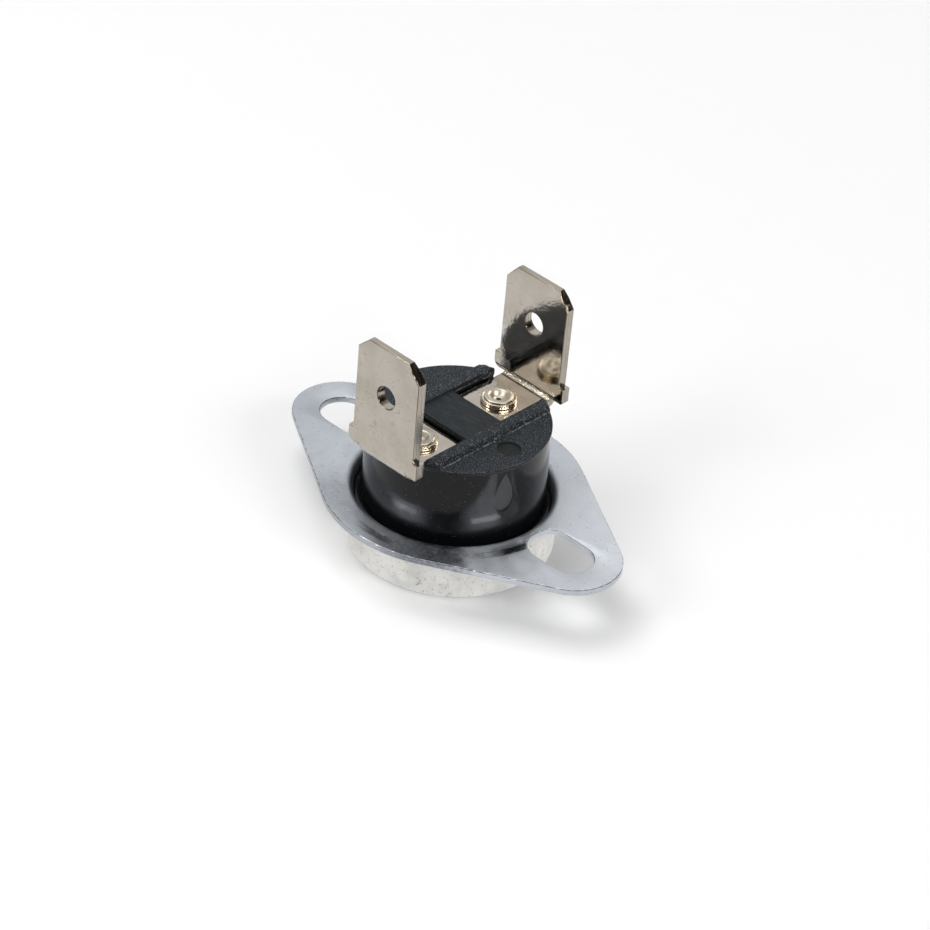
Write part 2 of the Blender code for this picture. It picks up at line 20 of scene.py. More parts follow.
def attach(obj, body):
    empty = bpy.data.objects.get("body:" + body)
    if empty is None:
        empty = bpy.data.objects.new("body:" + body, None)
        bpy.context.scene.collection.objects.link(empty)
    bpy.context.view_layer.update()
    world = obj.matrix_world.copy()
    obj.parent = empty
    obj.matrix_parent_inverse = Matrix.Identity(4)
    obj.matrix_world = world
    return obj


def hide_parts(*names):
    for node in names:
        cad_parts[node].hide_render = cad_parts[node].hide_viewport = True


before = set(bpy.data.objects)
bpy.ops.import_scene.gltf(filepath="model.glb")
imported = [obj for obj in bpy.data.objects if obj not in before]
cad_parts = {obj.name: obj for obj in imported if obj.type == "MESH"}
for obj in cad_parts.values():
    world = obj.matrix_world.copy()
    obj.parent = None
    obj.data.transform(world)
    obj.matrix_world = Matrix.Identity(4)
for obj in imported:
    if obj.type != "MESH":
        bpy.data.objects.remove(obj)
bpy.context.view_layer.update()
MM = 0.001

# %% [markdown]
# ## Colours and shader nodes
#
# Colours are picked as sRGB hex values, but a shader works in linear light, so one
# function turns them. Shader trees are easier to read when one line adds a node, sets it and
# links it, so one small function does all three.

# %% Helpers for colours, nodes and objects


def linear(hex_colour):
    """An sRGB hex colour as linear red, green, blue and alpha."""
    parts = [int(hex_colour[i : i + 2], 16) / 255 for i in (0, 2, 4)]
    return [c / 12.92 if c <= 0.04045 else ((c + 0.055) / 1.055) ** 2.4 for c in parts] + [1.0]


def add(tree, kind, inputs=None, **settings):
    """Adds a node. An input that is given a socket is linked to it, and any other is set."""
    node = tree.nodes.new(kind)
    for name, value in settings.items():
        setattr(node, name, value)
    for name, value in (inputs or {}).items():
        if isinstance(value, bpy.types.NodeSocket):
            tree.links.new(value, node.inputs[name])
        else:
            node.inputs[name].default_value = value
    return node


def link(name, data):
    """A new object at the origin with that mesh, lamp or camera."""
    piece = bpy.data.objects.new(name, data)
    bpy.context.scene.collection.objects.link(piece)
    return piece


# %% [markdown]
# ## The camera
#
# The photograph was taken from in front, to the right and above, with a long lens that hardly
# narrows the far tab. The angles and the lens were solved from points whose real place is known,
# such as the corners of the 6.3 mm tabs. Guessing by eye would leave the view off.

# %% Place the camera
AZIMUTH = math.radians(41.536)
ELEVATION = math.radians(35.677)
ROLL = math.radians(5.3914)
DISTANCE = 250 * MM
LENS = 128.381
AIM = Vector((1.7694, -0.8777, 8.1)) * MM

back = Vector(
    (
        math.sin(AZIMUTH) * math.cos(ELEVATION),
        -math.cos(AZIMUTH) * math.cos(ELEVATION),
        math.sin(ELEVATION),
    )
)
level = Vector((math.cos(AZIMUTH), math.sin(AZIMUTH), 0))
above = back.cross(level)
right = level * math.cos(ROLL) + above * math.sin(ROLL)
up = above * math.cos(ROLL) - level * math.sin(ROLL)

lens = bpy.data.cameras.new("camera")
lens.lens = LENS
lens.sensor_width = 36
lens.clip_start = 10 * MM
camera = link("camera", lens)
camera.matrix_world = Matrix.Translation(AIM + back * DISTANCE) @ Matrix((right, up, back)).transposed().to_4x4()
bpy.context.scene.camera = camera
print("camera at", [round(x, 4) for x in camera.location])

# %% [markdown]
# ## Outlines and sections
#
# Nearly every piece here is either turned from a section or stamped from an outline, and its
# corners are small arcs. Drawing both as lists of points in millimetres keeps the real sizes in
# sight. Curves with handles would also do, but their arcs are only close to round.

# %% Arcs and rounded corners


def arc(centre, radius, start, end, steps):
    """Points on an arc, with the angles in radians."""
    turn = [start + (end - start) * i / steps for i in range(steps + 1)]
    return [(centre[0] + radius * math.cos(a), centre[1] + radius * math.sin(a)) for a in turn]


def circle(radius, steps, centre=(0, 0)):
    """Points once round a circle."""
    return arc(centre, radius, 0, 2 * math.pi, steps)[:-1]


def rounded(before, corner, after, radius, steps=5):
    """The arc that rounds the corner of the path before, corner, after."""
    corner = Vector(corner)
    backwards = (Vector(before) - corner).normalized()
    ahead = (Vector(after) - corner).normalized()
    half = backwards.angle(ahead) / 2
    centre = corner + (backwards + ahead).normalized() * radius / math.sin(half)
    first = corner + backwards * radius / math.tan(half) - centre
    last = corner + ahead * radius / math.tan(half) - centre
    turn = math.atan2(first.x * last.y - first.y * last.x, first.dot(last))
    begin = math.atan2(first.y, first.x)
    return arc(centre, radius, begin, begin + turn, steps)


def round_path(corners):
    """A section from (radius, height, rounding) corners, with every rounding above 0 made an arc."""
    points = []
    for i, (x, z, rounding) in enumerate(corners):
        if rounding > 0:
            points += rounded(corners[i - 1][:2], (x, z), corners[i + 1][:2], rounding)
        else:
            points.append((x, z))
    return points


# %% [markdown]
# ## A lathe in Geometry Nodes
#
# The cup, the moulding, the washers and the rivets are all turned shapes. The Screw modifier
# would turn them too, but the flange isn't round: its edge has to follow an outline. So the lathe
# is a small node tree. It lays a grid over the section's points one way and the outline's points
# the other way, and sends each grid point to its place. A section point marked as following the
# outline is placed from the outline's own edge, and all others keep their radius.

# %% Build the lathe


def lathe_tree():
    tree = bpy.data.node_groups.new("lathe", "GeometryNodeTree")
    for name, kind in (("Section", "Geometry"), ("Outline", "Object"), ("Finish", "Material")):
        tree.interface.new_socket(name, in_out="INPUT", socket_type="NodeSocket" + kind)
    weld = tree.interface.new_socket("Weld", in_out="INPUT", socket_type="NodeSocketFloat")
    weld.default_value = 0.0005 * MM
    tree.interface.new_socket("Turned", in_out="OUTPUT", socket_type="NodeSocketGeometry")
    given = add(tree, "NodeGroupInput").outputs
    outline = add(tree, "GeometryNodeObjectInfo", {"Object": given["Outline"]}).outputs["Geometry"]
    around = add(tree, "GeometryNodeAttributeDomainSize", {0: outline}).outputs["Point Count"]
    along = add(tree, "GeometryNodeAttributeDomainSize", {0: given["Section"]}).outputs["Point Count"]
    columns = add(tree, "FunctionNodeIntegerMath", {0: around, 1: 1}, operation="ADD").outputs[0]
    grid = add(tree, "GeometryNodeMeshGrid", {"Vertices X": columns, "Vertices Y": along}).outputs["Mesh"]
    index = add(tree, "GeometryNodeInputIndex").outputs[0]
    row = add(tree, "FunctionNodeIntegerMath", {0: index, 1: along}, operation="MODULO").outputs[0]
    column = add(tree, "FunctionNodeIntegerMath", {0: index, 1: along}, operation="DIVIDE").outputs[0]
    column = add(tree, "FunctionNodeIntegerMath", {0: column, 1: around}, operation="MODULO").outputs[0]
    place = add(tree, "GeometryNodeInputPosition").outputs[0]
    follows = add(
        tree, "GeometryNodeInputNamedAttribute", {"Name": "follows_outline"}, data_type="FLOAT"
    ).outputs[0]
    sampled = []
    for source, value, at, kind in (
        (given["Section"], place, row, "FLOAT_VECTOR"),
        (outline, place, column, "FLOAT_VECTOR"),
        (given["Section"], follows, row, "FLOAT"),
    ):
        node = add(tree, "GeometryNodeSampleIndex", data_type=kind, domain="POINT")
        tree.links.new(source, node.inputs["Geometry"])
        tree.links.new(value, node.inputs["Value"])
        tree.links.new(at, node.inputs["Index"])
        sampled.append(node.outputs["Value"])
    section_place, edge, share = sampled
    section = add(tree, "ShaderNodeSeparateXYZ", {0: section_place}).outputs
    outward = add(tree, "ShaderNodeVectorMath", {0: edge}, operation="NORMALIZE").outputs[0]
    reach = add(tree, "ShaderNodeVectorMath", {0: outward, "Scale": section["X"]}, operation="SCALE").outputs[0]
    edge = add(tree, "ShaderNodeVectorMath", {0: edge, "Scale": share}, operation="SCALE").outputs[0]
    height = add(tree, "ShaderNodeCombineXYZ", {2: section["Z"]}).outputs[0]
    spot = add(tree, "ShaderNodeVectorMath", {0: reach, 1: edge}, operation="ADD").outputs[0]
    spot = add(tree, "ShaderNodeVectorMath", {0: spot, 1: height}, operation="ADD").outputs[0]
    turned = add(tree, "GeometryNodeSetPosition", {"Geometry": grid, "Position": spot}).outputs[0]
    turned = add(tree, "GeometryNodeMergeByDistance", {"Geometry": turned, "Distance": given["Weld"]}).outputs[0]
    turned = add(tree, "GeometryNodeSetShadeSmooth", {0: turned}).outputs[0]
    turned = add(tree, "GeometryNodeRealizeInstances", {0: turned}).outputs[0]
    turned = add(tree, "GeometryNodeSetMaterial", {"Geometry": turned, "Material": given["Finish"]}).outputs[0]
    add(tree, "NodeGroupOutput", {0: turned})
    return tree


LATHE = lathe_tree()
print("lathe tree has", len(LATHE.nodes), "nodes")

# %% [markdown]
# ## Turning, cutting and softening
#
# A piece goes through the same few steps: turn or stamp it, cut holes with solid cutters, and
# round the cut edges with a narrow bevel. Real edges are never perfectly sharp, and at this size
# the thin bright line on a rounded edge is what makes a part look solid. Each step is made
# final at once, so that the next one works on plain mesh.

# %% Steps that every piece goes through


def mesh_of(bm, name):
    """A new mesh from a bmesh, which is then freed."""
    mesh = bpy.data.meshes.new(name)
    bm.to_mesh(mesh)
    bm.free()
    return mesh


def settle(piece, outwards=True):
    """Makes the modifiers' result the piece's own mesh, in one finish, with its faces turned outwards."""
    depsgraph = bpy.context.evaluated_depsgraph_get()
    mesh = bpy.data.meshes.new_from_object(piece.evaluated_get(depsgraph))
    piece.modifiers.clear()
    piece.data = mesh
    own = [material for material in mesh.materials if material][:1]
    mesh.materials.clear()
    for material in own:
        mesh.materials.append(material)
    mesh.polygons.foreach_set("material_index", [0] * len(mesh.polygons))
    if outwards:
        bm = bmesh.new()
        bm.from_mesh(mesh)
        bmesh.ops.recalc_face_normals(bm, faces=bm.faces)
        bm.to_mesh(mesh)
        bm.free()
    return piece


def feed(piece, tree, values):
    """Adds a Geometry Nodes modifier and sets its inputs by their identifiers."""
    modifier = piece.modifiers.new(tree.name, "NODES")
    modifier.node_group = tree
    for socket in tree.interface.items_tree:
        if socket.in_out == "INPUT" and socket.name in values:
            modifier[socket.identifier] = values[socket.name]


def turned(name, section, outline, finish, follow=()):
    """Turns a section of (radius, height) points in mm round the outline's points."""
    mesh = bpy.data.meshes.new(name)
    mesh.from_pydata([(r * MM, 0, z * MM) for r, z in section], [(i, i + 1) for i in range(len(section) - 1)], [])
    mark = mesh.attributes.new("follows_outline", "FLOAT", "POINT")
    mark.data.foreach_set("value", [float(i in follow) for i in range(len(section))])
    piece = link(name, mesh)
    guide_mesh = bpy.data.meshes.new(name + "_outline")
    guide_mesh.from_pydata([(x * MM, y * MM, 0) for x, y in outline], [], [])
    guide = link(name + "_outline", guide_mesh)
    feed(piece, LATHE, {"Outline": guide, "Finish": finish})
    settle(piece)
    bpy.data.objects.remove(guide)
    return piece


def stack(name, layers):
    """A body in mm through layers of equally many points, each layer an (outline, height) pair."""
    points = [(x * MM, y * MM, z * MM) for outline, z in layers for x, y in outline]
    n = len(layers[0][0])
    faces = [list(range(n))[::-1], list(range(n * (len(layers) - 1), n * len(layers)))]
    for k in range(len(layers) - 1):
        faces += [[k * n + i, k * n + (i + 1) % n, (k + 1) * n + (i + 1) % n, (k + 1) * n + i] for i in range(n)]
    mesh = bpy.data.meshes.new(name)
    mesh.from_pydata(points, [], faces)
    return link(name, mesh)


def prism(name, outline, low, high, across):
    """A straight body in mm: the outline's points, in the plane across the named axis, from low to high."""
    order = {"X": lambda u, v, w: (w, u, v), "Y": lambda u, v, w: (u, w, v), "Z": lambda u, v, w: (u, v, w)}
    bm = bmesh.new()
    face = bm.faces.new([bm.verts.new(Vector(order[across](u, v, low)) * MM) for u, v in outline])
    made = bmesh.ops.extrude_face_region(bm, geom=[face])
    moved = [v for v in made["geom"] if isinstance(v, bmesh.types.BMVert)]
    bmesh.ops.translate(bm, verts=moved, vec=Vector(order[across](0, 0, high - low)) * MM)
    bmesh.ops.recalc_face_normals(bm, faces=bm.faces)
    return link(name, mesh_of(bm, name))


def carve(piece, cutters, operation="DIFFERENCE"):
    """Cuts the cutters out of the piece, or joins them on, and removes them."""
    for cutter in cutters:
        modifier = piece.modifiers.new(cutter.name, "BOOLEAN")
        modifier.operation = operation
        modifier.solver = "EXACT"
        modifier.object = cutter
    settle(piece)
    for cutter in cutters:
        bpy.data.objects.remove(cutter)
    return piece


def even_out(piece, limit):
    """Smooth shading that keeps flat faces looking flat. It comes last, as bmesh would spoil its normals."""
    piece.data.shade_smooth()
    piece.data.set_sharp_from_angle(angle=math.radians(limit))
    even = piece.modifiers.new("even", "WEIGHTED_NORMAL")
    even.keep_sharp = True
    settle(piece, outwards=False)


def soften(piece, width, steps, limit=55, weld=0.04, level_only=False):
    """Rounds the edges that turn by more than the limit, in mm. Points closer than the weld would make spikes."""
    bm = bmesh.new()
    bm.from_mesh(piece.data)
    bmesh.ops.remove_doubles(bm, verts=bm.verts, dist=weld * MM)
    weight = bm.edges.layers.float.new("bevel_weight_edge")
    for edge in bm.edges:
        low, high = sorted(vert.co.z for vert in edge.verts)
        level = high - low < 1e-4 * MM or not level_only
        edge[weight] = float(level and edge.calc_face_angle(0) > math.radians(limit))
    bm.to_mesh(piece.data)
    bm.free()
    bevel = piece.modifiers.new("soften", "BEVEL")
    bevel.width = width * MM
    bevel.segments = steps
    bevel.limit_method = "WEIGHT"
    bevel.use_clamp_overlap = False
    bevel.miter_outer = "MITER_ARC"
    settle(piece)
    return piece


def count(piece):
    """Prints a piece's triangles and its box in mm."""
    piece.data.calc_loop_triangles()
    points = np.array([v.co for v in piece.data.vertices]) / MM
    size = np.round(points.max(0) - points.min(0), 2)
    print(piece.name, len(piece.data.loop_triangles), "triangles,", size, "mm")


# %% [markdown]
# ## Sizes
#
# All sizes are in millimetres. They stand before the finishes, because a finish needs some of them
# too: it tells the top of the moulding from its wall, or the inside of a bend, by its place.

# %% Sizes in mm
# The sheet, whose flange lies between UNDER and CUP_DEPTH
SHEET = 0.5
FLANGE_LENGTH = 32.5
FLANGE_WIDTH = 20.56
FLANGE_END_RADIUS = 4.0
CUP_DEPTH = 5.1
UNDER = CUP_DEPTH - SHEET
CUP_MOUTH_RADIUS = 7.68
CUP_WALL_SLOPE = math.radians(1)
RIM_FILLET = 0.62
FLOOR_FILLET = 0.08
DISH_RADIUS = 9.3
DISH_DROP = 0.09
DISH_RISE = 0.14
SLOT_INNER = 8.55
SLOT_OUTER = 14.05
SLOT_RADIUS = 1.825
SLOT_PULL = 0.22
SLOT_LEAN = 0.10
SHEAR_NICK = 0.03
FLANGE_POINTS = 528
# The moulding
CASE_BOTTOM = 2.68
CASE_TOP_RADIUS = 7.0
CASE_FOOT_RADIUS = 7.12
BASE_TOP = 4.0
FOOT_FILLET = 0.3
SHELF = 11.1
RIB_TOP = 11.56
BLOCK_TOP = 11.36
CHANNEL_FLOOR = 10.02
CHANNEL_HALF = 2.65
RIB_TOP_WIDTH = 1.0
RIB_FOOT_WIDTH = 1.2
RIB_SLOPE = 0.2 / 0.46
BLOCK_HALF = 1.88
CHAMBER_TOP = 8.82
CHAMBER_RADIUS = 5.9
RIVET_PLACE = 4.25
LIP = 0.06
WALL_GAP = 0.12
SHANK_HOLE_RADIUS = 0.85
EJECTOR_PLACE = 5.2
EJECTOR_RADIUS = 0.93
SCAR_FLAT = 6.965
SCAR_ANGLE = math.radians(-15.3)
CASE_POINTS = 200
# The tabs
TAB_SHEET = 0.8
TAB_WIDTH = 6.3
TAB_TOP = 20.45
TAB_SPAN = 16.4
TAB_HOLE_RADIUS = 0.93
TAB_HOLE_HEIGHT = 16.49
TAB_TIP_SHEET = 0.55
TAB_LEAD_IN = 0.6
LUG_SPAN = 7.2
LUG_BOTTOM = 10.9
LUG_TOP = 12.25
SLIT = (0.01, 0.05)
SLIT_TOP = 11.2
PLATE_WIDTH = 4.9
PLATE_BOTTOM = 10.05
PLATE_TOP = 10.85
PLATE_START = BLOCK_HALF + 0.22
BEND_RADIUS = 0.3
BEND_STEPS = 12
# The washers and the rivets
WASHER_HOLE = 0.86
WASHER_RADIUS = 1.40
WASHER_BOTTOM = 10.88
WASHER_TOP = 11.24
HEAD_RADIUS = 1.15
HEAD_BOTTOM = 11.27
HEAD_TOP = 11.36
TUBE_RADIUS = 0.17
TUBE_DEPTH = 1.6
SHANK_RADIUS = 0.80
TAIL_TOP = 8.36
TAIL_BOTTOM = 7.96
FASTENER_POINTS = 72
print("sizes of", FLANGE_LENGTH, "by", FLANGE_WIDTH, "by", TAB_TOP, "mm")

# %% [markdown]
# ## Patterns that several finishes share
#
# Small real surfaces are never even: they carry specks, pits, fine scratches and a slow change of
# tone. Each pattern reads Object coordinates, so it stays on the piece when it moves, and its
# scale is one over a size in metres, so that the size of a speck can be given in millimetres.

# %% Specks, scratches and clouds


def coordinates(tree, turn=0.0, stretch=(1, 1, 1)):
    """Object coordinates, turned about Z and stretched."""
    place = add(tree, "ShaderNodeTexCoord").outputs["Object"]
    inputs = {"Vector": place, "Rotation": (0, 0, turn), "Scale": stretch}
    return add(tree, "ShaderNodeMapping", inputs).outputs[0]


def cloud(tree, size, where=None, low=0.35, high=0.65, detail=3.0, rough=0.55):
    """A soft noise of that size in mm, from 0 to 1."""
    where = where or coordinates(tree)
    inputs = {"Vector": where, "Scale": 1 / (size * MM), "Detail": detail, "Roughness": rough}
    noise = add(tree, "ShaderNodeTexNoise", inputs).outputs["Fac"]
    return add(tree, "ShaderNodeMapRange", {0: noise, 1: low, 2: high}).outputs[0]


def specks(tree, size, share):
    """Small round specks of that size in mm: 1 on a speck and 0 elsewhere. Share is how many cells have one."""
    inputs = {"Vector": coordinates(tree), "Scale": 0.4 / (size * MM)}
    cells = add(tree, "ShaderNodeTexVoronoi", inputs).outputs
    near = add(tree, "ShaderNodeMapRange", {0: cells["Distance"], 1: 0.32, 2: 0.14}).outputs[0]
    pick = add(tree, "ShaderNodeSeparateColor", {0: cells["Color"]}).outputs[0]
    chosen = add(tree, "ShaderNodeMath", {0: pick, 1: share}, operation="LESS_THAN").outputs[0]
    return add(tree, "ShaderNodeMath", {0: near, 1: chosen}, operation="MULTIPLY").outputs[0]


def scratches(tree, width, length, turn, amount):
    """Thin straight scratches: 1 on a scratch. Width and length are in mm, and turn is their direction."""
    where = coordinates(tree, turn, (1, length / width, 1))
    inputs = {"Vector": where, "Scale": 1 / (length * MM), "Detail": 1.0, "Distortion": 0.15}
    noise = add(tree, "ShaderNodeTexNoise", inputs).outputs["Fac"]
    off = add(tree, "ShaderNodeMath", {0: noise, 1: 0.5}, operation="SUBTRACT").outputs[0]
    off = add(tree, "ShaderNodeMath", {0: off}, operation="ABSOLUTE").outputs[0]
    line = add(tree, "ShaderNodeMapRange", {0: off, 1: 0.012, 2: 0.0}).outputs[0]
    patch = cloud(tree, length * 0.7, low=0.72 - 0.3 * amount, high=0.8 - 0.3 * amount)
    return add(tree, "ShaderNodeMath", {0: line, 1: patch}, operation="MULTIPLY").outputs[0]


def blend(tree, share, first, second):
    """Mixes two colours by a share."""
    return add(tree, "ShaderNodeMix", {0: share, 6: first, 7: second}, data_type="RGBA").outputs[2]


def level_mix(tree, share, first, second):
    """Mixes two numbers by a share."""
    return add(tree, "ShaderNodeMix", {0: share, 2: first, 3: second}, data_type="FLOAT").outputs[0]


def new_finish(name):
    """A material with its tree and its shader."""
    material = bpy.data.materials.new(name)
    material.use_nodes = True
    tree = material.node_tree
    return material, tree, tree.nodes["Principled BSDF"]


def dress(tree, shader, colour, rough, layers, metallic=0.0):
    """Links colour, roughness and a chain of bumps. Each bump is a height from 0 to 1 and its depth in mm."""
    normal = None
    for height, depth in layers:
        inputs = {"Height": height, "Distance": abs(depth) * MM, "Strength": 1.0}
        if normal:
            inputs["Normal"] = normal
        normal = add(tree, "ShaderNodeBump", inputs, invert=depth < 0).outputs[0]
    for name, value in (("Base Color", colour), ("Roughness", rough), ("Normal", normal)):
        tree.links.new(value, shader.inputs[name])
    shader.inputs["Metallic"].default_value = metallic


def radius_and_height(tree):
    """The distance from the Z axis and the height, both in mm, and the angle about the axis."""
    place = add(tree, "ShaderNodeTexCoord").outputs["Object"]
    part = add(tree, "ShaderNodeSeparateXYZ", {0: place}).outputs
    flat = add(tree, "ShaderNodeVectorMath", {0: place, 1: (1, 1, 0)}, operation="MULTIPLY").outputs[0]
    away = add(tree, "ShaderNodeVectorMath", {0: flat}, operation="LENGTH").outputs["Value"]
    away = add(tree, "ShaderNodeMath", {0: away, 1: 1 / MM}, operation="MULTIPLY").outputs[0]
    height = add(tree, "ShaderNodeMath", {0: part["Z"], 1: 1 / MM}, operation="MULTIPLY").outputs[0]
    angle = add(tree, "ShaderNodeMath", {0: part["Y"], 1: part["X"]}, operation="ARCTAN2").outputs[0]
    return away, height, angle


# %% [markdown]
# ## Aluminium sheet, deep drawn
#
# The cup starts as rolled sheet with a soft, milky satin face. Drawing stretches it over the die's
# rim, which burnishes the curve round the mouth and leaves fine radial lines there, while the flat
# flange keeps its rolled face, with tiny pits and handling scratches. So one material has two
# finishes, and the distance from the axis says which one a point gets.

# %% Material for the flange and cup


def by_angle(tree, angle, stops):
    """A share that depends on the angle about the axis, from (degrees, share) stops."""
    turn = add(tree, "ShaderNodeMapRange", {0: angle, 1: -math.pi, 2: math.pi}).outputs[0]
    ramp = add(tree, "ShaderNodeValToRGB", {0: turn})
    points = ramp.color_ramp.elements
    while len(points) < len(stops):
        points.new(1.0)
    for point, (degrees, share) in zip(points, stops):
        point.position = (degrees + 180) / 360
        point.color = (share, share, share, 1)
    return ramp.outputs[0]


def product(tree, first, *others):
    """Multiplies shares."""
    for other in others:
        first = add(tree, "ShaderNodeMath", {0: first, 1: other}, operation="MULTIPLY").outputs[0]
    return first


def step(tree, value, low, high):
    """A share that goes from 0 at low to 1 at high."""
    return add(tree, "ShaderNodeMapRange", {0: value, 1: low, 2: high}).outputs[0]


def drawn_aluminium():
    # Bare aluminium, rolled then drawn: a pale blue-grey metal with wide soft reflections
    material, tree, shader = new_finish("drawn_aluminium_satin")
    away, height, angle = radius_and_height(tree)
    slope = add(tree, "ShaderNodeNewGeometry").outputs["Normal"]
    upward = add(tree, "ShaderNodeSeparateXYZ", {0: slope}).outputs["Z"]
    # Painted light: the flange is painted paler towards +X and darker towards -X, mixed with a slow random tone
    place = add(tree, "ShaderNodeTexCoord").outputs["Object"]
    sideways = add(tree, "ShaderNodeSeparateXYZ", {0: place}).outputs["X"]
    tone = level_mix(tree, 0.35, step(tree, sideways, -13 * MM, 11 * MM), cloud(tree, 4.0))
    metal = blend(tree, tone, linear("A8ADB3"), linear("C4C8CE"))
    # The outside of the cup is a warmer grey, with drawing soap dried on it
    outside = step(tree, away, CUP_MOUTH_RADIUS + 0.12, CUP_MOUTH_RADIUS + 0.22)
    outside = product(tree, outside, step(tree, height, UNDER + 0.02, UNDER - 0.05))
    soap = cloud(tree, 0.5, coordinates(tree, 0.3, (1, 1, 1.6)), low=0.58, high=0.74, detail=5.0, rough=0.75)
    cup = blend(tree, cloud(tree, 2.2), linear("C6C5C1"), linear("DCDBD7"))
    cup = blend(tree, soap, cup, linear("A5A39C"))
    metal = blend(tree, outside, metal, cup)
    # Thin scratches run up and round the wall
    wall_place = {0: product(tree, angle, 7.0), 1: product(tree, height, 0.9)}
    wall_place = add(tree, "ShaderNodeCombineXYZ", wall_place).outputs[0]
    wall_inputs = {"Vector": wall_place, "Scale": 1.0, "Detail": 2.0, "Distortion": 0.6}
    wall_lines = add(tree, "ShaderNodeTexNoise", wall_inputs).outputs["Fac"]
    wall_lines = add(tree, "ShaderNodeMath", {0: wall_lines, 1: 0.5}, operation="SUBTRACT").outputs[0]
    wall_lines = add(tree, "ShaderNodeMath", {0: wall_lines}, operation="ABSOLUTE").outputs[0]
    wall_lines = product(tree, step(tree, wall_lines, 0.010, 0.002), cloud(tree, 0.9, low=0.5, high=0.6), outside)
    metal = blend(tree, wall_lines, metal, linear("85837C"))
    pits = specks(tree, 0.07, 0.08)
    metal = blend(tree, pits, metal, linear("5C5F62"))
    lines = scratches(tree, 0.022, 2.6, 0.7, 0.6)
    lines2 = scratches(tree, 0.022, 1.4, 2.2, 0.6)
    marks = add(tree, "ShaderNodeMath", {0: lines, 1: lines2}, operation="MAXIMUM").outputs[0]
    metal = blend(tree, marks, metal, linear("72757A"))
    # Radial draw lines: noise that is fine round the axis and long across it
    around = add(tree, "ShaderNodeMath", {0: angle, 1: 60.0}, operation="MULTIPLY").outputs[0]
    along = add(tree, "ShaderNodeMath", {0: away, 1: 0.8}, operation="MULTIPLY").outputs[0]
    polar = add(tree, "ShaderNodeCombineXYZ", {0: around, 1: along}).outputs[0]
    draw = add(tree, "ShaderNodeTexNoise", {"Vector": polar, "Scale": 1.0, "Detail": 5.0, "Roughness": 0.7})
    draw = step(tree, draw.outputs["Fac"], 0.3, 0.7)
    # The die burnished a band round the mouth, and left a dull patch at the front right out to the edge. The dull
    # patches, with one at the front left and one beside the right slot, are also painted darker: painted dark
    # reflections near the mouth
    patch = cloud(tree, 1.1, low=0.3, high=0.7, detail=5.0, rough=0.65)
    shifted = level_mix(tree, patch, -0.10, 0.10)
    shifted = add(tree, "ShaderNodeMath", {0: shifted, 1: angle}, operation="ADD").outputs[0]
    ring_stops = ((-180, 0), (-114, 0), (-106, 0.75), (-80, 0.75), (-68, 0))
    ring_stops += ((-36, 0), (-29, 1), (-10, 1), (-4, 0), (180, 0))
    ring_share = by_angle(tree, angle, ring_stops)
    inside = step(tree, height, UNDER - 0.2, UNDER + 0.05)
    polished = product(tree, ring_share, step(tree, away, 8.85, 9.05), step(tree, away, 9.7, 9.5), inside)
    front_stops = ((-180, 0), (-145, 0), (-126, 0.6), (-112, 0.5), (-84, 0.2), (-66, 1), (-47, 1), (-36, 0), (180, 0))
    front_share = by_angle(tree, shifted, front_stops)
    near_slot = by_angle(tree, shifted, ((-180, 0), (-28, 0), (-21, 0.5), (-13, 0.5), (-6, 0), (180, 0)))
    near_slot = product(tree, near_slot, step(tree, away, 10.0, 9.3), step(tree, away, 8.4, 8.7))
    dull_patch_and_shade = add(tree, "ShaderNodeMath", {0: front_share, 1: near_slot}, operation="MAXIMUM").outputs[0]
    mottle = cloud(tree, 0.22, low=0.08, high=0.55, detail=5.0, rough=0.7)
    dull_patch_and_shade = product(tree, dull_patch_and_shade, inside, mottle)
    # Painted dark reflection: the dull patches are darkened
    metal = blend(tree, dull_patch_and_shade, metal, linear("797D83"))
    # A thin dark line is painted where the upper face turns over at the edge, broken into dashes
    turned_over = product(tree, step(tree, height, CUP_DEPTH - 0.06, CUP_DEPTH - 0.05), step(tree, upward, 0.97, 0.85))
    broken = cloud(tree, 0.5, low=0.3, high=0.5, detail=4.0, rough=0.7)
    metal = blend(tree, product(tree, turned_over, broken), metal, linear("4A4B4D"))
    satin = level_mix(tree, cloud(tree, 1.2), 0.40, 0.48)
    rough = level_mix(tree, dull_patch_and_shade, satin, 0.29)
    rough = level_mix(tree, polished, rough, 0.14)
    rough = level_mix(tree, outside, rough, 0.34)
    drawn = product(tree, draw, dull_patch_and_shade)
    grain = cloud(tree, 0.08, low=0.2, high=0.8)
    dress(tree, shader, metal, rough, [(grain, 0.006), (drawn, 0.003), (pits, -0.01), (marks, -0.006)], 1.0)
    return material


ALUMINIUM = drawn_aluminium()

# %% [markdown]
# ## Nickel plate on brass
#
# The tabs and washers are brass, plated with bright nickel. Nickel is a little darker and warmer
# than chrome, so white things look beige in it. The plate follows the faint rolling marks of the
# sheet below, which breaks up what it mirrors.

# %% Materials for the tabs, washers and rivets


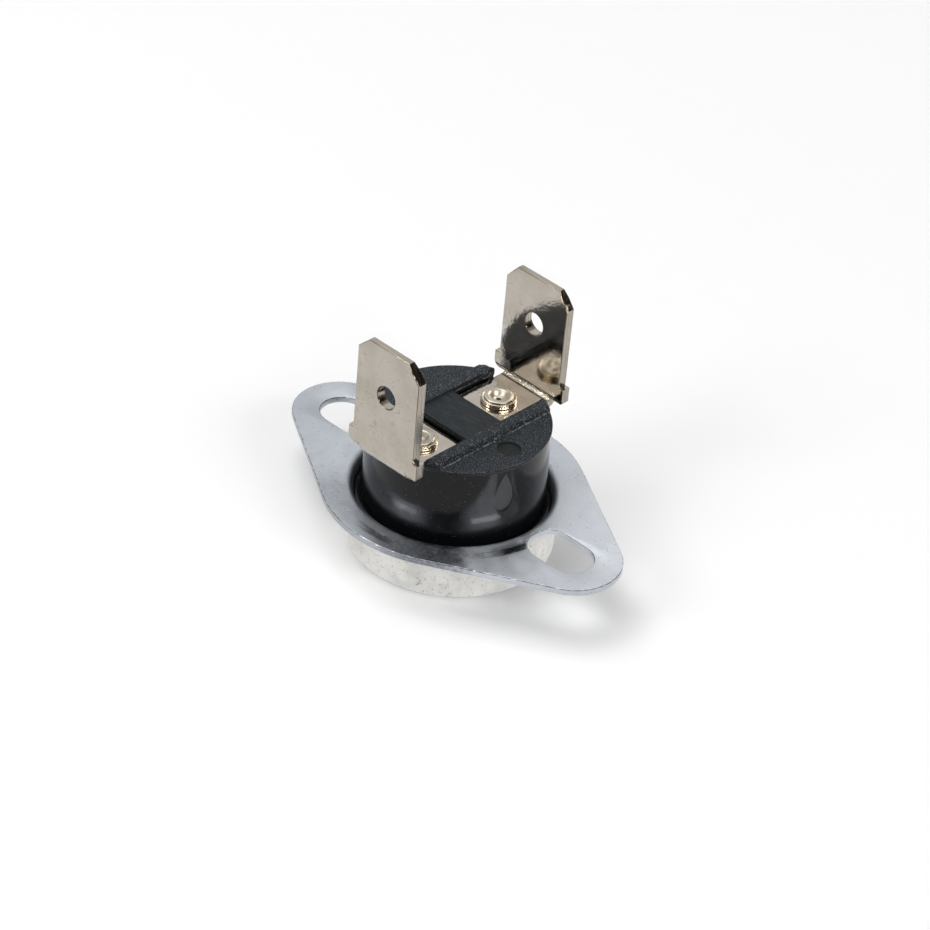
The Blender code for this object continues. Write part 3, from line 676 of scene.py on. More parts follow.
def plated(name, pale, deep, roughness, wear):
    """Bright plate: slow tone changes, faint marks, dark specks, and a sheen that varies a little."""
    material, tree, shader = new_finish(name)
    tone = cloud(tree, 2.2)
    metal = blend(tree, tone, linear(deep), linear(pale))
    stain = specks(tree, 0.06, 0.015)
    metal = blend(tree, stain, metal, linear("5B4A3A"))
    marks = scratches(tree, 0.025, 2.4, 1.1, wear)
    metal = blend(tree, marks, metal, linear("A0988D"))
    veins = scratches(tree, 0.03, 1.1, 0.4, 0.9)
    metal = blend(tree, product(tree, veins, 0.5), metal, linear("94866F"))
    # Thin brown lines are painted on the rounded edges of the plate's sides, the lugs and the blades
    place = add(tree, "ShaderNodeTexCoord").outputs["Object"]
    slope = add(tree, "ShaderNodeNewGeometry").outputs["Normal"]
    slope = add(tree, "ShaderNodeVectorMath", {0: slope}, operation="ABSOLUTE").outputs[0]
    slope = add(tree, "ShaderNodeSeparateXYZ", {0: slope}).outputs
    largest = add(tree, "ShaderNodeMath", {0: slope["X"], 1: slope["Y"]}, operation="MAXIMUM").outputs[0]
    largest = add(tree, "ShaderNodeMath", {0: largest, 1: slope["Z"]}, operation="MAXIMUM").outputs[0]
    spot = add(tree, "ShaderNodeVectorMath", {0: place}, operation="ABSOLUTE").outputs[0]
    spot = add(tree, "ShaderNodeSeparateXYZ", {0: spot}).outputs
    beyond = step(tree, spot["X"], (PLATE_WIDTH / 2 - 0.07) * MM, (PLATE_WIDTH / 2 - 0.01) * MM)
    beyond = add(tree, "ShaderNodeMath", {0: beyond, 1: step(tree, spot["Z"], 11.9 * MM, 12 * MM)}, operation="MAXIMUM")
    corner = product(tree, step(tree, largest, 0.96, 0.88), beyond.outputs[0])
    metal = blend(tree, corner, metal, linear("54483C"))
    # The sheared edges carry fine lines along the cut
    cut = cloud(tree, 0.25, coordinates(tree, 0, (0.08, 5, 0.08)), low=0.42, high=0.6)
    sheared = product(tree, step(tree, slope["Z"], 0.6, 0.8), step(tree, spot["Z"], 15 * MM, 16 * MM))
    side = step(tree, slope["X"], 0.6, 0.8)
    sheared = add(tree, "ShaderNodeMath", {0: sheared, 1: side}, operation="MAXIMUM").outputs[0]
    cut = product(tree, cut, sheared)
    metal = blend(tree, cut, metal, linear("8F877C"))
    # Bending stretches the sheet: its inner corner is as rough as orange peel. The two dark lines beside it are painted
    # shade of the bend's inner crease
    fold = add(tree, "ShaderNodeCombineXYZ", {1: spot["Y"], 2: spot["Z"]}).outputs[0]
    fold = add(tree, "ShaderNodeVectorMath", {0: fold, 1: (0, 7.2 * MM, 11.05 * MM)}, operation="DISTANCE")
    fold = fold.outputs["Value"]
    peel = product(tree, cloud(tree, 0.10, low=0.4, high=0.6, detail=2.0), step(tree, fold, 0.27 * MM, 0.23 * MM))
    metal = blend(tree, peel, metal, linear("6E665B"))
    # Painted shade: two dark lines where the inner bend meets the flat faces
    crease_shade = product(tree, step(tree, fold, 0.22 * MM, 0.24 * MM), step(tree, fold, 0.30 * MM, 0.28 * MM))
    metal = blend(tree, crease_shade, metal, linear("38322B"))
    # The funnel of a rivet is drawn dull, and no light comes out of its tube
    hub = add(tree, "ShaderNodeCombineXYZ", {0: spot["X"], 1: spot["Y"]}).outputs[0]
    axis = (0, RIVET_PLACE * MM, 0)
    hub = add(tree, "ShaderNodeVectorMath", {0: hub, 1: axis}, operation="DISTANCE").outputs["Value"]
    metal = blend(tree, step(tree, hub, 0.21 * MM, 0.18 * MM), metal, linear("1A1814"))
    rough = level_mix(tree, cloud(tree, 0.8), roughness, roughness + 0.04)
    rough = level_mix(tree, step(tree, hub, 0.74 * MM, 0.66 * MM), rough, 0.45)
    wave = cloud(tree, 1.5, low=0.2, high=0.8, detail=2.0)
    grain = cloud(tree, 0.17, low=0.2, high=0.8, detail=1.0)
    layers = [(wave, 0.006), (grain, 0.003), (marks, -0.002), (peel, 0.02), (cut, 0.003)]
    dress(tree, shader, metal, rough, layers, 1.0)
    return material


NICKEL = plated("bright_nickel_on_brass", "B8B1A7", "ADA69B", 0.07, 0.5)
RIVET = plated("bright_tinned_rivet", "B2ADA2", "928B7E", 0.30, 0.3)
WASHER = plated("nickel_washer", "B4AA9A", "9C9080", 0.22, 0.3)

# %% [markdown]
# ## Phenolic moulding
#
# The body is a black thermoset. Its side walls come from a polished mould and gloss like lacquer,
# and its top comes from a spark-eroded mould, which leaves a fine pebble that scatters light and
# looks charcoal. Height and the slope of the surface tell the two apart.

# %% Material for the moulding


def black_phenolic():
    # Phenolic resin, compression moulded: near black, hard gloss on the sides and matt on top
    material, tree, shader = new_finish("black_phenolic_moulded")
    away, height = radius_and_height(tree)[:2]
    slope = add(tree, "ShaderNodeNewGeometry").outputs["Normal"]
    facing = add(tree, "ShaderNodeSeparateXYZ", {0: slope}).outputs["Z"]
    top = add(tree, "ShaderNodeMapRange", {0: height, 1: SHELF - 0.35, 2: SHELF - 0.15}).outputs[0]
    inner = add(tree, "ShaderNodeMapRange", {0: away, 1: CASE_TOP_RADIUS - 0.05, 2: CASE_TOP_RADIUS - 0.2}).outputs[0]
    upward = add(tree, "ShaderNodeMapRange", {0: facing, 1: 0.2, 2: 0.5}).outputs[0]
    matt = add(tree, "ShaderNodeMath", {0: inner, 1: upward}, operation="MAXIMUM").outputs[0]
    matt = add(tree, "ShaderNodeMath", {0: matt, 1: top}, operation="MULTIPLY").outputs[0]
    dust = specks(tree, 0.055, 0.08)
    gloss_colour = blend(tree, dust, linear("0B0C0E"), linear("474B4F"))
    pebble = cloud(tree, 0.12, low=0.38, high=0.64, detail=3.0, rough=0.7)
    matt_colour = blend(tree, pebble, linear("020508"), linear("171E24"))
    # Painted glints: the crests of the pebble are painted paler
    crest = cloud(tree, 0.10, low=0.58, high=0.65, detail=1.0)
    matt_colour = blend(tree, crest, matt_colour, linear("59636C"))
    # Painted glints: pale dots along the edges and on the sloping sides of the ribs
    edge_glints = product(tree, step(tree, facing, 0.94, 0.86), step(tree, facing, 0.2, 0.35))
    edge_glints = product(tree, edge_glints, cloud(tree, 0.11, low=0.56, high=0.64, detail=2.0))
    # Painted shade: the sloping and upright faces above the shelf, mainly the ribs' flanks, are painted darker
    flank_shade = product(tree, step(tree, facing, 0.92, 0.84), step(tree, height, SHELF + 0.03, SHELF + 0.1))
    matt_colour = blend(tree, flank_shade, matt_colour, linear("04070A"))
    matt_colour = blend(tree, edge_glints, matt_colour, linear("6A737A"))
    # Painted highlight: a pale speckled line along the foot of the ribs
    foot_highlight = product(tree, step(tree, facing, 0.92, 0.84), step(tree, height, SHELF - 0.02, SHELF))
    foot_highlight = product(tree, foot_highlight, step(tree, height, SHELF + 0.12, SHELF + 0.07))
    foot_highlight = product(tree, foot_highlight, cloud(tree, 0.15, low=0.48, high=0.62, detail=3.0))
    matt_colour = blend(tree, foot_highlight, matt_colour, linear("828B92"))
    # The block's insert was ground, so its top is darker and finely lined along X
    spot = add(tree, "ShaderNodeTexCoord").outputs["Object"]
    spot = add(tree, "ShaderNodeVectorMath", {0: spot}, operation="ABSOLUTE").outputs[0]
    spot = add(tree, "ShaderNodeSeparateXYZ", {0: spot}).outputs
    block = product(tree, step(tree, spot["X"], 2.75 * MM, 2.6 * MM), step(tree, spot["Y"], 1.95 * MM, 1.85 * MM))
    ground = cloud(tree, 0.08, coordinates(tree, 0, (0.05, 1, 1)), low=0.42, high=0.62)
    ground_colour = blend(tree, ground, linear("010406"), linear("1F282E"))
    matt_colour = blend(tree, block, matt_colour, ground_colour)
    # The ejector pin's end was smoother than the mould round it
    pin_mark = product(tree, step(tree, height, SHELF - 0.03, SHELF - 0.08), step(tree, away, 6.4, 6.3))
    matt_colour = blend(tree, pin_mark, matt_colour, linear("0F1314"))
    colour = blend(tree, matt, gloss_colour, matt_colour)
    gloss = level_mix(tree, cloud(tree, 1.0), 0.10, 0.17)
    dull = level_mix(tree, pebble, 0.48, 0.62)
    rough = level_mix(tree, matt, gloss, dull)
    shader.inputs["IOR"].default_value = 1.5
    shader.inputs["Specular IOR Level"].default_value = 0.22
    pebbled = product(tree, pebble, matt, level_mix(tree, block, 1.0, 0.3))
    ripple = cloud(tree, 1.4, low=0.2, high=0.8, detail=1.5)
    dress(tree, shader, colour, rough, [(ripple, 0.004), (pebbled, 0.03), (dust, 0.006)])
    return material


def gate_scar():
    # The same resin where it was snapped off and scraped: dull grey, with its filler showing
    material, tree, shader = new_finish("black_phenolic_scraped")
    filler = cloud(tree, 0.12, low=0.3, high=0.7, detail=4.0)
    body = blend(tree, filler, linear("1E2022"), linear("34373A"))
    rough = level_mix(tree, filler, 0.42, 0.6)
    dress(tree, shader, body, rough, [(filler, 0.012)])
    return material


PHENOLIC = black_phenolic()
SCAR = gate_scar()

# %% [markdown]
# ## The flange and cup
#
# On the real part one disc of sheet is pressed twice: the cup is drawn down, and the flange is
# blanked to its long outline. The lathe does the same in one go, with the rim points following
# the outline. The punch rolls the upper edge over a little and leaves a small burr below, so the
# edge's section isn't symmetrical.

# %% The cup's wall and the flange's edge


def cup_wall(height):
    """Radius of the cup wall's inner face at a height."""
    return CUP_MOUTH_RADIUS - (CUP_DEPTH - height) * math.tan(CUP_WALL_SLOPE)


def flange_outline(steps):
    """Points of the flange's edge: a middle arc, two end arcs and their tangents, finer at the ends."""
    middle = FLANGE_WIDTH / 2
    offset = FLANGE_LENGTH / 2 - FLANGE_END_RADIUS
    tangent = math.acos((middle - FLANGE_END_RADIUS) / offset)
    points = []
    for i in range(steps):
        even = 2 * math.pi * i / steps
        angle = even - 0.28 * math.sin(2 * even)
        x, y = abs(math.cos(angle)), abs(math.sin(angle))
        ray = math.atan2(y, x)
        straight = middle / math.cos(ray - tangent) if ray < tangent else middle
        reach = straight
        if ray < tangent and straight * math.sin(ray) < FLANGE_END_RADIUS * math.sin(tangent):
            reach = offset * x + math.sqrt(FLANGE_END_RADIUS**2 - (offset * y) ** 2)
        points.append((reach * math.cos(angle), reach * math.sin(angle)))
    return points


# %% Turn the sheet
wall = SHEET / math.cos(CUP_WALL_SLOPE)
far = CUP_MOUTH_RADIUS + 2 * RIM_FILLET
floor_corner = (cup_wall(SHEET), SHEET)
mouth_corner = (CUP_MOUTH_RADIUS, CUP_DEPTH - DISH_DROP)
under_mouth = (cup_wall(UNDER) + wall, UNDER)
under_floor = (cup_wall(0) + wall, 0)
section = [(0, SHEET)]
section += rounded((0, SHEET), floor_corner, mouth_corner, FLOOR_FILLET, 6)
section += rounded(floor_corner, mouth_corner, (DISH_RADIUS, mouth_corner[1] + DISH_RISE), RIM_FILLET, 14)
start = section[-1]
for i in range(1, 7):
    along = i / 6
    radius = start[0] + (DISH_RADIUS - start[0]) * along
    section.append((radius, CUP_DEPTH - (CUP_DEPTH - start[1]) * (1 - along) ** 2))
edge_start = len(section)
section += [(-0.16, CUP_DEPTH), (-0.11, CUP_DEPTH), (-0.06, CUP_DEPTH), (-0.02, CUP_DEPTH - 0.01)]
section += [(0.0, CUP_DEPTH - 0.04), (0.0, UNDER + 0.05), (-0.03, UNDER + 0.01), (-0.08, UNDER)]
edge_end = len(section)
section += rounded((far, UNDER), under_mouth, under_floor, RIM_FILLET - SHEET, 10)
section += rounded(under_mouth, under_floor, (0, 0), FLOOR_FILLET + SHEET, 10)
section += [(0, 0)]
sheet = turned("flange_cup_sheet", section, flange_outline(FLANGE_POINTS), ALUMINIUM, range(edge_start, edge_end))
# The shears leave a ragged upper edge, so its points are pushed in and down by small uneven amounts
chance = np.random.default_rng(5)
for vert in sheet.data.vertices:
    if 0.005 < CUP_DEPTH - vert.co.z / MM < 0.045 and vert.co.xy.length / MM > 9.5:
        nick = SHEAR_NICK * chance.random() ** 3
        vert.co.z -= nick * MM
        vert.co.xy *= 1 - nick * MM / vert.co.xy.length
print("turned the sheet from", len(section), "section points")

# %% [markdown]
# The slots are pierced before the cup is drawn, and the draw then pulls their inner ends in
# towards the mouth and a little to one side. So the cutter for the right slot is drawn from the
# photograph, and the left one is plain.

# %% Pierce the slots


def slot_outline(side, grow):
    """The slot's outline in mm, grown by an amount, with the inner end of the right one pulled out of round."""
    radius = SLOT_RADIUS + grow
    outer = arc((SLOT_OUTER - SLOT_RADIUS, 0.0), radius, -math.pi / 2, math.pi / 2, 24)
    inner = arc((SLOT_INNER + SLOT_RADIUS, 0.0), radius, math.pi / 2, 3 * math.pi / 2, 24)
    for i, (x, y) in enumerate(inner):
        if side > 0 and y > 0:
            depth = min(1.0, max(0.0, (SLOT_INNER + SLOT_RADIUS - x) / radius))
            lean = SLOT_LEAN * math.sin(math.pi * depth / 2)
            inner[i] = (x - SLOT_PULL * math.sin(math.pi * depth), y + lean)
    return [(side * x, side * y) for x, y in outer + inner]


# The punch rolls the slot's upper edge in and breaks the lower one, as (height, growth) steps
SLOT_STEPS = (
    (UNDER - 1.4, 0.05),
    (UNDER, 0.05),
    (UNDER + 0.05, 0.0),
    (CUP_DEPTH - 0.08, 0.0),
    (CUP_DEPTH - 0.04, 0.015),
    (CUP_DEPTH - 0.015, 0.04),
    (CUP_DEPTH + 0.002, 0.08),
    (CUP_DEPTH + 0.5, 0.08),
)
cutters = [stack(f"slot_{side}", [(slot_outline(side, grow), z) for z, grow in SLOT_STEPS]) for side in (-1, 1)]
carve(sheet, cutters)
even_out(sheet, 40)
count(sheet)

# %% [markdown]
# ## The moulding
#
# A round body that stands in the cup, a shelf at each side, two ribs along the line of the tabs and
# a block between the two plates. It could be modelled by pushing faces about, but the real one
# is a turned cavity with flat inserts, and the same order works here: turn it, cut the flats,
# then round what the cuts left sharp.

# %% Turn and cut the moulding
BASE_BOTTOM_RADIUS = cup_wall(CASE_BOTTOM) - WALL_GAP
BASE_TOP_RADIUS = BASE_BOTTOM_RADIUS + (BASE_TOP - CASE_BOTTOM) * math.tan(CUP_WALL_SLOPE) / 4
section = [(0, RIB_TOP)]
section += rounded((0, RIB_TOP), (CASE_TOP_RADIUS + LIP, RIB_TOP), (CASE_TOP_RADIUS + LIP, SHELF), 0.34, 7)
section += [(CASE_TOP_RADIUS + LIP, SHELF - 0.22), (CASE_TOP_RADIUS + 0.04, SHELF - 0.27)]
section += [(CASE_TOP_RADIUS + 0.01, SHELF - 0.29), (CASE_TOP_RADIUS, SHELF - 0.36)]
for i in range(7):
    turn = i / 6 * math.pi / 2
    radius = CASE_FOOT_RADIUS + (BASE_TOP_RADIUS - CASE_FOOT_RADIUS) * (1 - math.cos(turn))
    section.append((radius, BASE_TOP + FOOT_FILLET * (1 - math.sin(turn))))
section += [(BASE_BOTTOM_RADIUS, CASE_BOTTOM), (0, CASE_BOTTOM)]
case = turned("case_moulding", section, circle(1, CASE_POINTS), PHENOLIC)

reach = CASE_TOP_RADIUS + 1
over = RIB_TOP + 1
foot = CHANNEL_HALF + RIB_FOOT_WIDTH
crest = CHANNEL_HALF + RIB_TOP_WIDTH - RIB_SLOPE
cutters = []
for side, name in ((-1, "left"), (1, "right")):
    outline = [(side * foot, SHELF), (side * reach, SHELF), (side * reach, over), (side * crest, over)]
    cutters.append(prism(f"shelf_{name}", outline, -reach, reach, "Y"))
for low, high, height, name in (
    (-reach, -BLOCK_HALF, CHANNEL_FLOOR, "front"),
    (BLOCK_HALF, reach, CHANNEL_FLOOR, "rear"),
    (-BLOCK_HALF, BLOCK_HALF, BLOCK_TOP, "block"),
):
    outline = [(-CHANNEL_HALF, height), (CHANNEL_HALF, height), (CHANNEL_HALF, over), (-CHANNEL_HALF, over)]
    cutters.append(prism(f"channel_{name}", outline, low - 0.001, high + 0.001, "Y"))
cutters.append(prism("chamber", circle(CHAMBER_RADIUS, 96), CASE_BOTTOM - 0.5, CHAMBER_TOP, "Z"))
for side in (-1, 1):
    hole = circle(SHANK_HOLE_RADIUS, 32, (0, side * RIVET_PLACE))
    cutters.append(prism(f"rivet_hole_{side}", hole, CHAMBER_TOP - 0.5, CHANNEL_FLOOR + 0.5, "Z"))
carve(case, cutters)
soften(case, 0.06, 3)
count(case)

# %% [markdown]
# Two marks come from the mould: a shallow round one from an ejector pin on the right shelf, and
# a flat drop-shaped one on the wall where the gate was cut off. Both are shallower than the
# bevel is wide, so they're cut after it.

# %% Mould marks
mark = prism("ejector", circle(EJECTOR_RADIUS, 48, (EJECTOR_PLACE, 0)), SHELF - 0.12, SHELF + 0.5, "Z")
drop = []
for i in range(40):
    turn = 2 * math.pi * i / 40
    drop.append((1.0 * math.sin(turn) * (0.5 - 0.5 * math.cos(turn)) ** 0.45, 8.85 + 1.7 * math.cos(turn)))
gate = prism("gate", drop, SCAR_FLAT, 9.0, "X")
gate.data.transform(Matrix.Rotation(SCAR_ANGLE, 4, "Z"))
carve(case, [mark, gate])
# A blister of resin is left on the outer side of the right rib, and the left rib's rear end is swollen
bm = bmesh.new()
bmesh.ops.create_uvsphere(bm, u_segments=28, v_segments=16, radius=1)
bulge_mesh = mesh_of(bm, "bulge")
bulges = []
for name, place, size, turn in (
    ("blister", (foot - 0.10, 0.25, SHELF - 0.02), (0.36, 0.62, 0.40), 0),
    ("rib_end", (-3.08, 5.56, RIB_TOP - 0.36), (0.60, 0.86, 0.48), 0.35),
):
    mesh = bulge_mesh.copy()
    grown = Matrix.Diagonal((size[0] * MM, size[1] * MM, size[2] * MM, 1))
    mesh.transform(Matrix.Translation(Vector(place) * MM) @ Matrix.Rotation(turn, 4, "Z") @ grown)
    bulges.append(link(name, mesh))
carve(case, bulges, "UNION")
even_out(case, 40)
# The flat where the gate was cut off has its own dull finish
case.data.materials.append(SCAR)
across = Vector((math.cos(SCAR_ANGLE), math.sin(SCAR_ANGLE), 0))
for face in case.data.polygons:
    if face.normal.dot(across) > 0.9999 and abs(face.center.dot(across) / MM - SCAR_FLAT) < 0.005:
        face.material_index = 1
count(case)

# %% [markdown]
# ## The tabs
#
# Each terminal is stamped flat, pierced, coined thin at its tip and folded up once. Building it
# in that order gives the bend its true inner and outer radius, and it keeps the sheet the same
# thickness all the way. The two terminals are the same stamping, the rear one turned round.

# %% Stamp and fold a terminal


def flank(corner, chamfer, bottom, shoulder, tip):
    """One side of the flat blank, from the plate's end to the tip, with its lug's lower corner rounded."""
    plate_half, lug_half, tab_half = PLATE_WIDTH / 2, LUG_SPAN / 2, TAB_WIDTH / 2
    points = [(plate_half, 0), (plate_half, bottom)]
    points += rounded((plate_half, bottom), (lug_half, bottom), (lug_half, shoulder), corner, 6)
    points += [(lug_half, shoulder), (tab_half, shoulder)]
    return points + [(tab_half, tip - chamfer[1]), (tab_half - chamfer[0], tip)]


def terminal(name, corners, turn):
    """A terminal: its blank is pierced and softened flat, then coined at the tip and folded up."""
    bend_start = TAB_SPAN / 2 - TAB_SHEET - BEND_RADIUS - PLATE_START
    middle_radius = BEND_RADIUS + TAB_SHEET / 2
    straight_start = bend_start + middle_radius * math.pi / 2
    shift = straight_start - PLATE_TOP - BEND_RADIUS
    levels = [z + shift for z in (LUG_BOTTOM, LUG_TOP, TAB_TOP)]
    left, right = [flank(corner, chamfer, *levels) for corner, chamfer in corners]
    piece = prism(name, right + [(-x, v) for x, v in reversed(left)], 0, TAB_SHEET, "Z")
    latch = circle(TAB_HOLE_RADIUS, 48, (0, TAB_HOLE_HEIGHT + shift))
    shank = circle(SHANK_HOLE_RADIUS, 32, (0, RIVET_PLACE - PLATE_START))
    punches = (("latch_punch", latch), ("shank_punch", shank))
    carve(piece, [prism(label, outline, -1, TAB_SHEET + 1, "Z") for label, outline in punches])
    soften(piece, 0.06, 3, 40, 0.005, level_only=True)
    # A fine slit parts each lug from the bend, so that the lug stays flat while the plate folds
    low, high = [PLATE_WIDTH / 2 + edge for edge in SLIT]
    for side in (-1, 1):
        outline = [(side * x, z + shift) for x in (low, high) for z in (LUG_BOTTOM - 0.3, SLIT_TOP)]
        outline = [outline[0], outline[2], outline[3], outline[1]]
        carve(piece, [prism(f"slit_{side}", outline, -1, TAB_SHEET + 1, "Z")])
    bm = bmesh.new()
    bm.from_mesh(piece.data)
    lead_in = TAB_TOP + shift - TAB_LEAD_IN
    folds = [bend_start + (straight_start - bend_start) * i / BEND_STEPS for i in range(BEND_STEPS + 1)]
    for along in [*folds, lead_in]:
        everything = bm.verts[:] + bm.edges[:] + bm.faces[:]
        bmesh.ops.bisect_plane(bm, geom=everything, dist=1e-8, plane_co=(0, along * MM, 0), plane_no=(0, 1, 0))
    centre_y = -(PLATE_START + bend_start)
    centre_z = PLATE_TOP + BEND_RADIUS
    for vert in bm.verts:
        across, along, thick = vert.co / MM
        beyond = along - straight_start
        in_lug = abs(across) > (low + high) / 2
        radius = BEND_RADIUS + TAB_SHEET - thick
        if beyond >= -1e-5 or in_lug:
            if along > lead_in + 1e-5:
                thinner = 1 - (1 - TAB_TIP_SHEET / TAB_SHEET) * (along - lead_in) / TAB_LEAD_IN
                radius = BEND_RADIUS + TAB_SHEET / 2 + (TAB_SHEET / 2 - thick) * thinner
            place = (across, centre_y - radius, centre_z + beyond)
        elif along > bend_start:
            angle = (along - bend_start) / middle_radius
            place = (across, centre_y - radius * math.sin(angle), centre_z - radius * math.cos(angle))
        else:
            place = (across, -(PLATE_START + along), PLATE_BOTTOM + thick)
        vert.co = Vector(place) * MM
    bm.to_mesh(piece.data)
    bm.free()
    piece.data.materials.clear()
    piece.data.materials.append(NICKEL)
    even_out(piece, 30)
    piece.data.transform(Matrix.Rotation(turn, 4, "Z"))
    count(piece)
    return piece


# Each side as its lug corner's radius and its tip's chamfer (across, down). The die was worn unevenly
tabs = {
    "front": terminal("terminal_front_tab", ((0.75, (0.95, 0.92)), (0.16, (1.22, 1.32))), 0),
    "rear": terminal("terminal_rear_tab", ((0.16, (1.06, 1.33)), (0.6, (0.95, 1.12))), math.pi),
}

# %% [markdown]
# ## Washers and rivets
#
# A tubular rivet holds each terminal: a washer with a groove round it, a rolled head, and a
# funnel down into the tube. The roll tears into tiny nicks round the funnel's edge as the tool
# spreads it. The nicks repeat round a ring, so a second node tree places them, with a fixed seed
# for their uneven sizes.

# %% Build the ring of nicks


def nicks_tree():
    tree = bpy.data.node_groups.new("nicks", "GeometryNodeTree")
    sockets = (
        ("Head", "Geometry", None),
        ("Nicks", "Int", 34),
        ("Ring Radius", "Float", 0.70 * MM),
        ("Height", "Float", 11.315 * MM),
        ("Nick Size", "Float", 0.06 * MM),
        ("Seed", "Int", 1),
        ("Finish", "Material", None),
    )
    for name, kind, value in sockets:
        socket = tree.interface.new_socket(name, in_out="INPUT", socket_type="NodeSocket" + kind)
        if value is not None:
            socket.default_value = value
    tree.interface.new_socket("Nicked", in_out="OUTPUT", socket_type="NodeSocketGeometry")
    given = add(tree, "NodeGroupInput").outputs
    circle = add(tree, "GeometryNodeMeshCircle", {"Vertices": given["Nicks"], "Radius": given["Ring Radius"]})
    lift = add(tree, "ShaderNodeCombineXYZ", {2: given["Height"]}).outputs[0]
    spots = add(tree, "GeometryNodeSetPosition", {"Geometry": circle.outputs[0], "Offset": lift}).outputs[0]
    bead = add(tree, "GeometryNodeMeshIcoSphere", {"Radius": given["Nick Size"], "Subdivisions": 2}).outputs[0]
    place = add(tree, "GeometryNodeInputPosition").outputs[0]
    flat = add(tree, "ShaderNodeVectorMath", {0: place, 1: (1, 1, 0)}, operation="MULTIPLY").outputs[0]
    turn = add(tree, "FunctionNodeAlignRotationToVector", {"Vector": flat}, axis="X").outputs[0]
    size = add(tree, "FunctionNodeRandomValue", data_type="FLOAT_VECTOR")
    size.inputs[0].default_value = (0.7, 0.28, 0.4)
    size.inputs[1].default_value = (1.5, 0.62, 0.9)
    tree.links.new(given["Seed"], size.inputs["Seed"])
    inputs = {"Points": spots, "Instance": bead, "Rotation": turn, "Scale": size.outputs[0]}
    beads = add(tree, "GeometryNodeInstanceOnPoints", inputs).outputs[0]
    beads = add(tree, "GeometryNodeRealizeInstances", {0: beads}).outputs[0]
    joined = add(tree, "GeometryNodeJoinGeometry")
    tree.links.new(given["Head"], joined.inputs[0])
    tree.links.new(beads, joined.inputs[0])
    smooth = add(tree, "GeometryNodeSetShadeSmooth", {0: joined.outputs[0]}).outputs[0]
    smooth = add(tree, "GeometryNodeSetMaterial", {"Geometry": smooth, "Material": given["Finish"]}).outputs[0]
    add(tree, "NodeGroupOutput", {0: smooth})
    return tree


NICKS = nicks_tree()

# %% Turn the washers and rivets
washer_section = round_path(
    [
        (WASHER_HOLE, WASHER_TOP, 0),
        (1.12, WASHER_TOP, 0),
        (1.14, WASHER_TOP - 0.012, 0),
        (1.17, WASHER_TOP, 0),
        (WASHER_RADIUS, WASHER_TOP, 0.055),
        (WASHER_RADIUS, WASHER_TOP - 0.12, 0.03),
        (1.35, WASHER_TOP - 0.135, 0),
        (1.39, WASHER_TOP - 0.15, 0.02),
        (WASHER_RADIUS, WASHER_BOTTOM, 0.05),
        (WASHER_HOLE, WASHER_BOTTOM, 0),
        (WASHER_HOLE, WASHER_TOP, 0),
    ]
)


def below_head(*points):
    """Points of the section from (radius, depth below the head's top)."""
    return [(radius, HEAD_TOP - depth) for radius, depth in points]


rivet_section = below_head((0, TUBE_DEPTH), (TUBE_RADIUS, TUBE_DEPTH), (TUBE_RADIUS, 0.50))
rivet_section += rounded(*below_head((TUBE_RADIUS, 0.50), (0.20, 0.42), (0.38, 0.38)), 0.04, 3)
rivet_section += rounded(*below_head((0.20, 0.42), (0.42, 0.37), (0.62, 0.10)), 0.10, 4)
rivet_section += below_head((0.62, 0.10), (0.68, 0.05), (0.74, 0.035), (0.77, 0.005), (0.81, 0), (1.06, 0.004))
rivet_section += below_head((1.11, 0.018), (1.14, 0.04), (HEAD_RADIUS, 0.065))
rivet_section += [(HEAD_RADIUS, HEAD_BOTTOM), (SHANK_RADIUS, HEAD_BOTTOM), (SHANK_RADIUS, TAIL_TOP)]
rivet_section += [(HEAD_RADIUS, TAIL_TOP), (HEAD_RADIUS, TAIL_BOTTOM), (0, TAIL_BOTTOM)]
fasteners = {}
for place, side in (("front", -1), ("rear", 1)):
    washer = turned(f"washer_{place}_ring", washer_section, circle(1, FASTENER_POINTS), WASHER)
    rivet = turned(f"rivet_{place}_head", rivet_section, circle(1, FASTENER_POINTS), RIVET)
    feed(rivet, NICKS, {"Seed": 3 + side, "Finish": RIVET})
    settle(rivet)
    for piece in (washer, rivet):
        piece.data.transform(Matrix.Translation((0, side * RIVET_PLACE * MM, 0)))
        piece.data.set_sharp_from_angle(angle=math.radians(50))
        count(piece)
    fasteners[place] = (washer, rivet)

# %% [markdown]
# ## Parts inside the case
#
# The contacts, the pin, the guide and the disc can't be seen, but they move, and a reader may open
# the model. Their CAD shapes are right, so they stay, and each gets the finish of its real
# material: rolled copper alloy, silver, fired ceramic, brown phenolic and bimetal.

# %% Materials for the inner parts


def rolled(name, pale, deep, roughness):
    """Rolled strip: fine straight lines along Y, a slow change of tone and small specks."""
    material, tree, shader = new_finish(name)
    where = coordinates(tree, 0, (1, 0.04, 1))
    lines = cloud(tree, 0.06, where, low=0.25, high=0.75)
    tone = cloud(tree, 1.6)
    mixed = level_mix(tree, 0.4, tone, lines)
    metal = blend(tree, mixed, linear(deep), linear(pale))
    stain = specks(tree, 0.08, 0.05)
    metal = blend(tree, stain, metal, linear("4A3A2A"))
    rough = level_mix(tree, lines, roughness, roughness + 0.1)
    dress(tree, shader, metal, rough, [(lines, 0.002), (stain, -0.003)], 1.0)
    return material


def fired(name, pale, deep, roughness, grain_size):
    """A dry, fine-grained body, as fired ceramic or filled phenolic has."""
    material, tree, shader = new_finish(name)
    grain = cloud(tree, grain_size, low=0.3, high=0.7, detail=4.0)
    tone = cloud(tree, 1.5)
    mixed = level_mix(tree, 0.5, tone, grain)
    body = blend(tree, mixed, linear(deep), linear(pale))
    rough = level_mix(tree, grain, roughness, roughness + 0.15)
    dress(tree, shader, body, rough, [(grain, 0.006)])
    return material


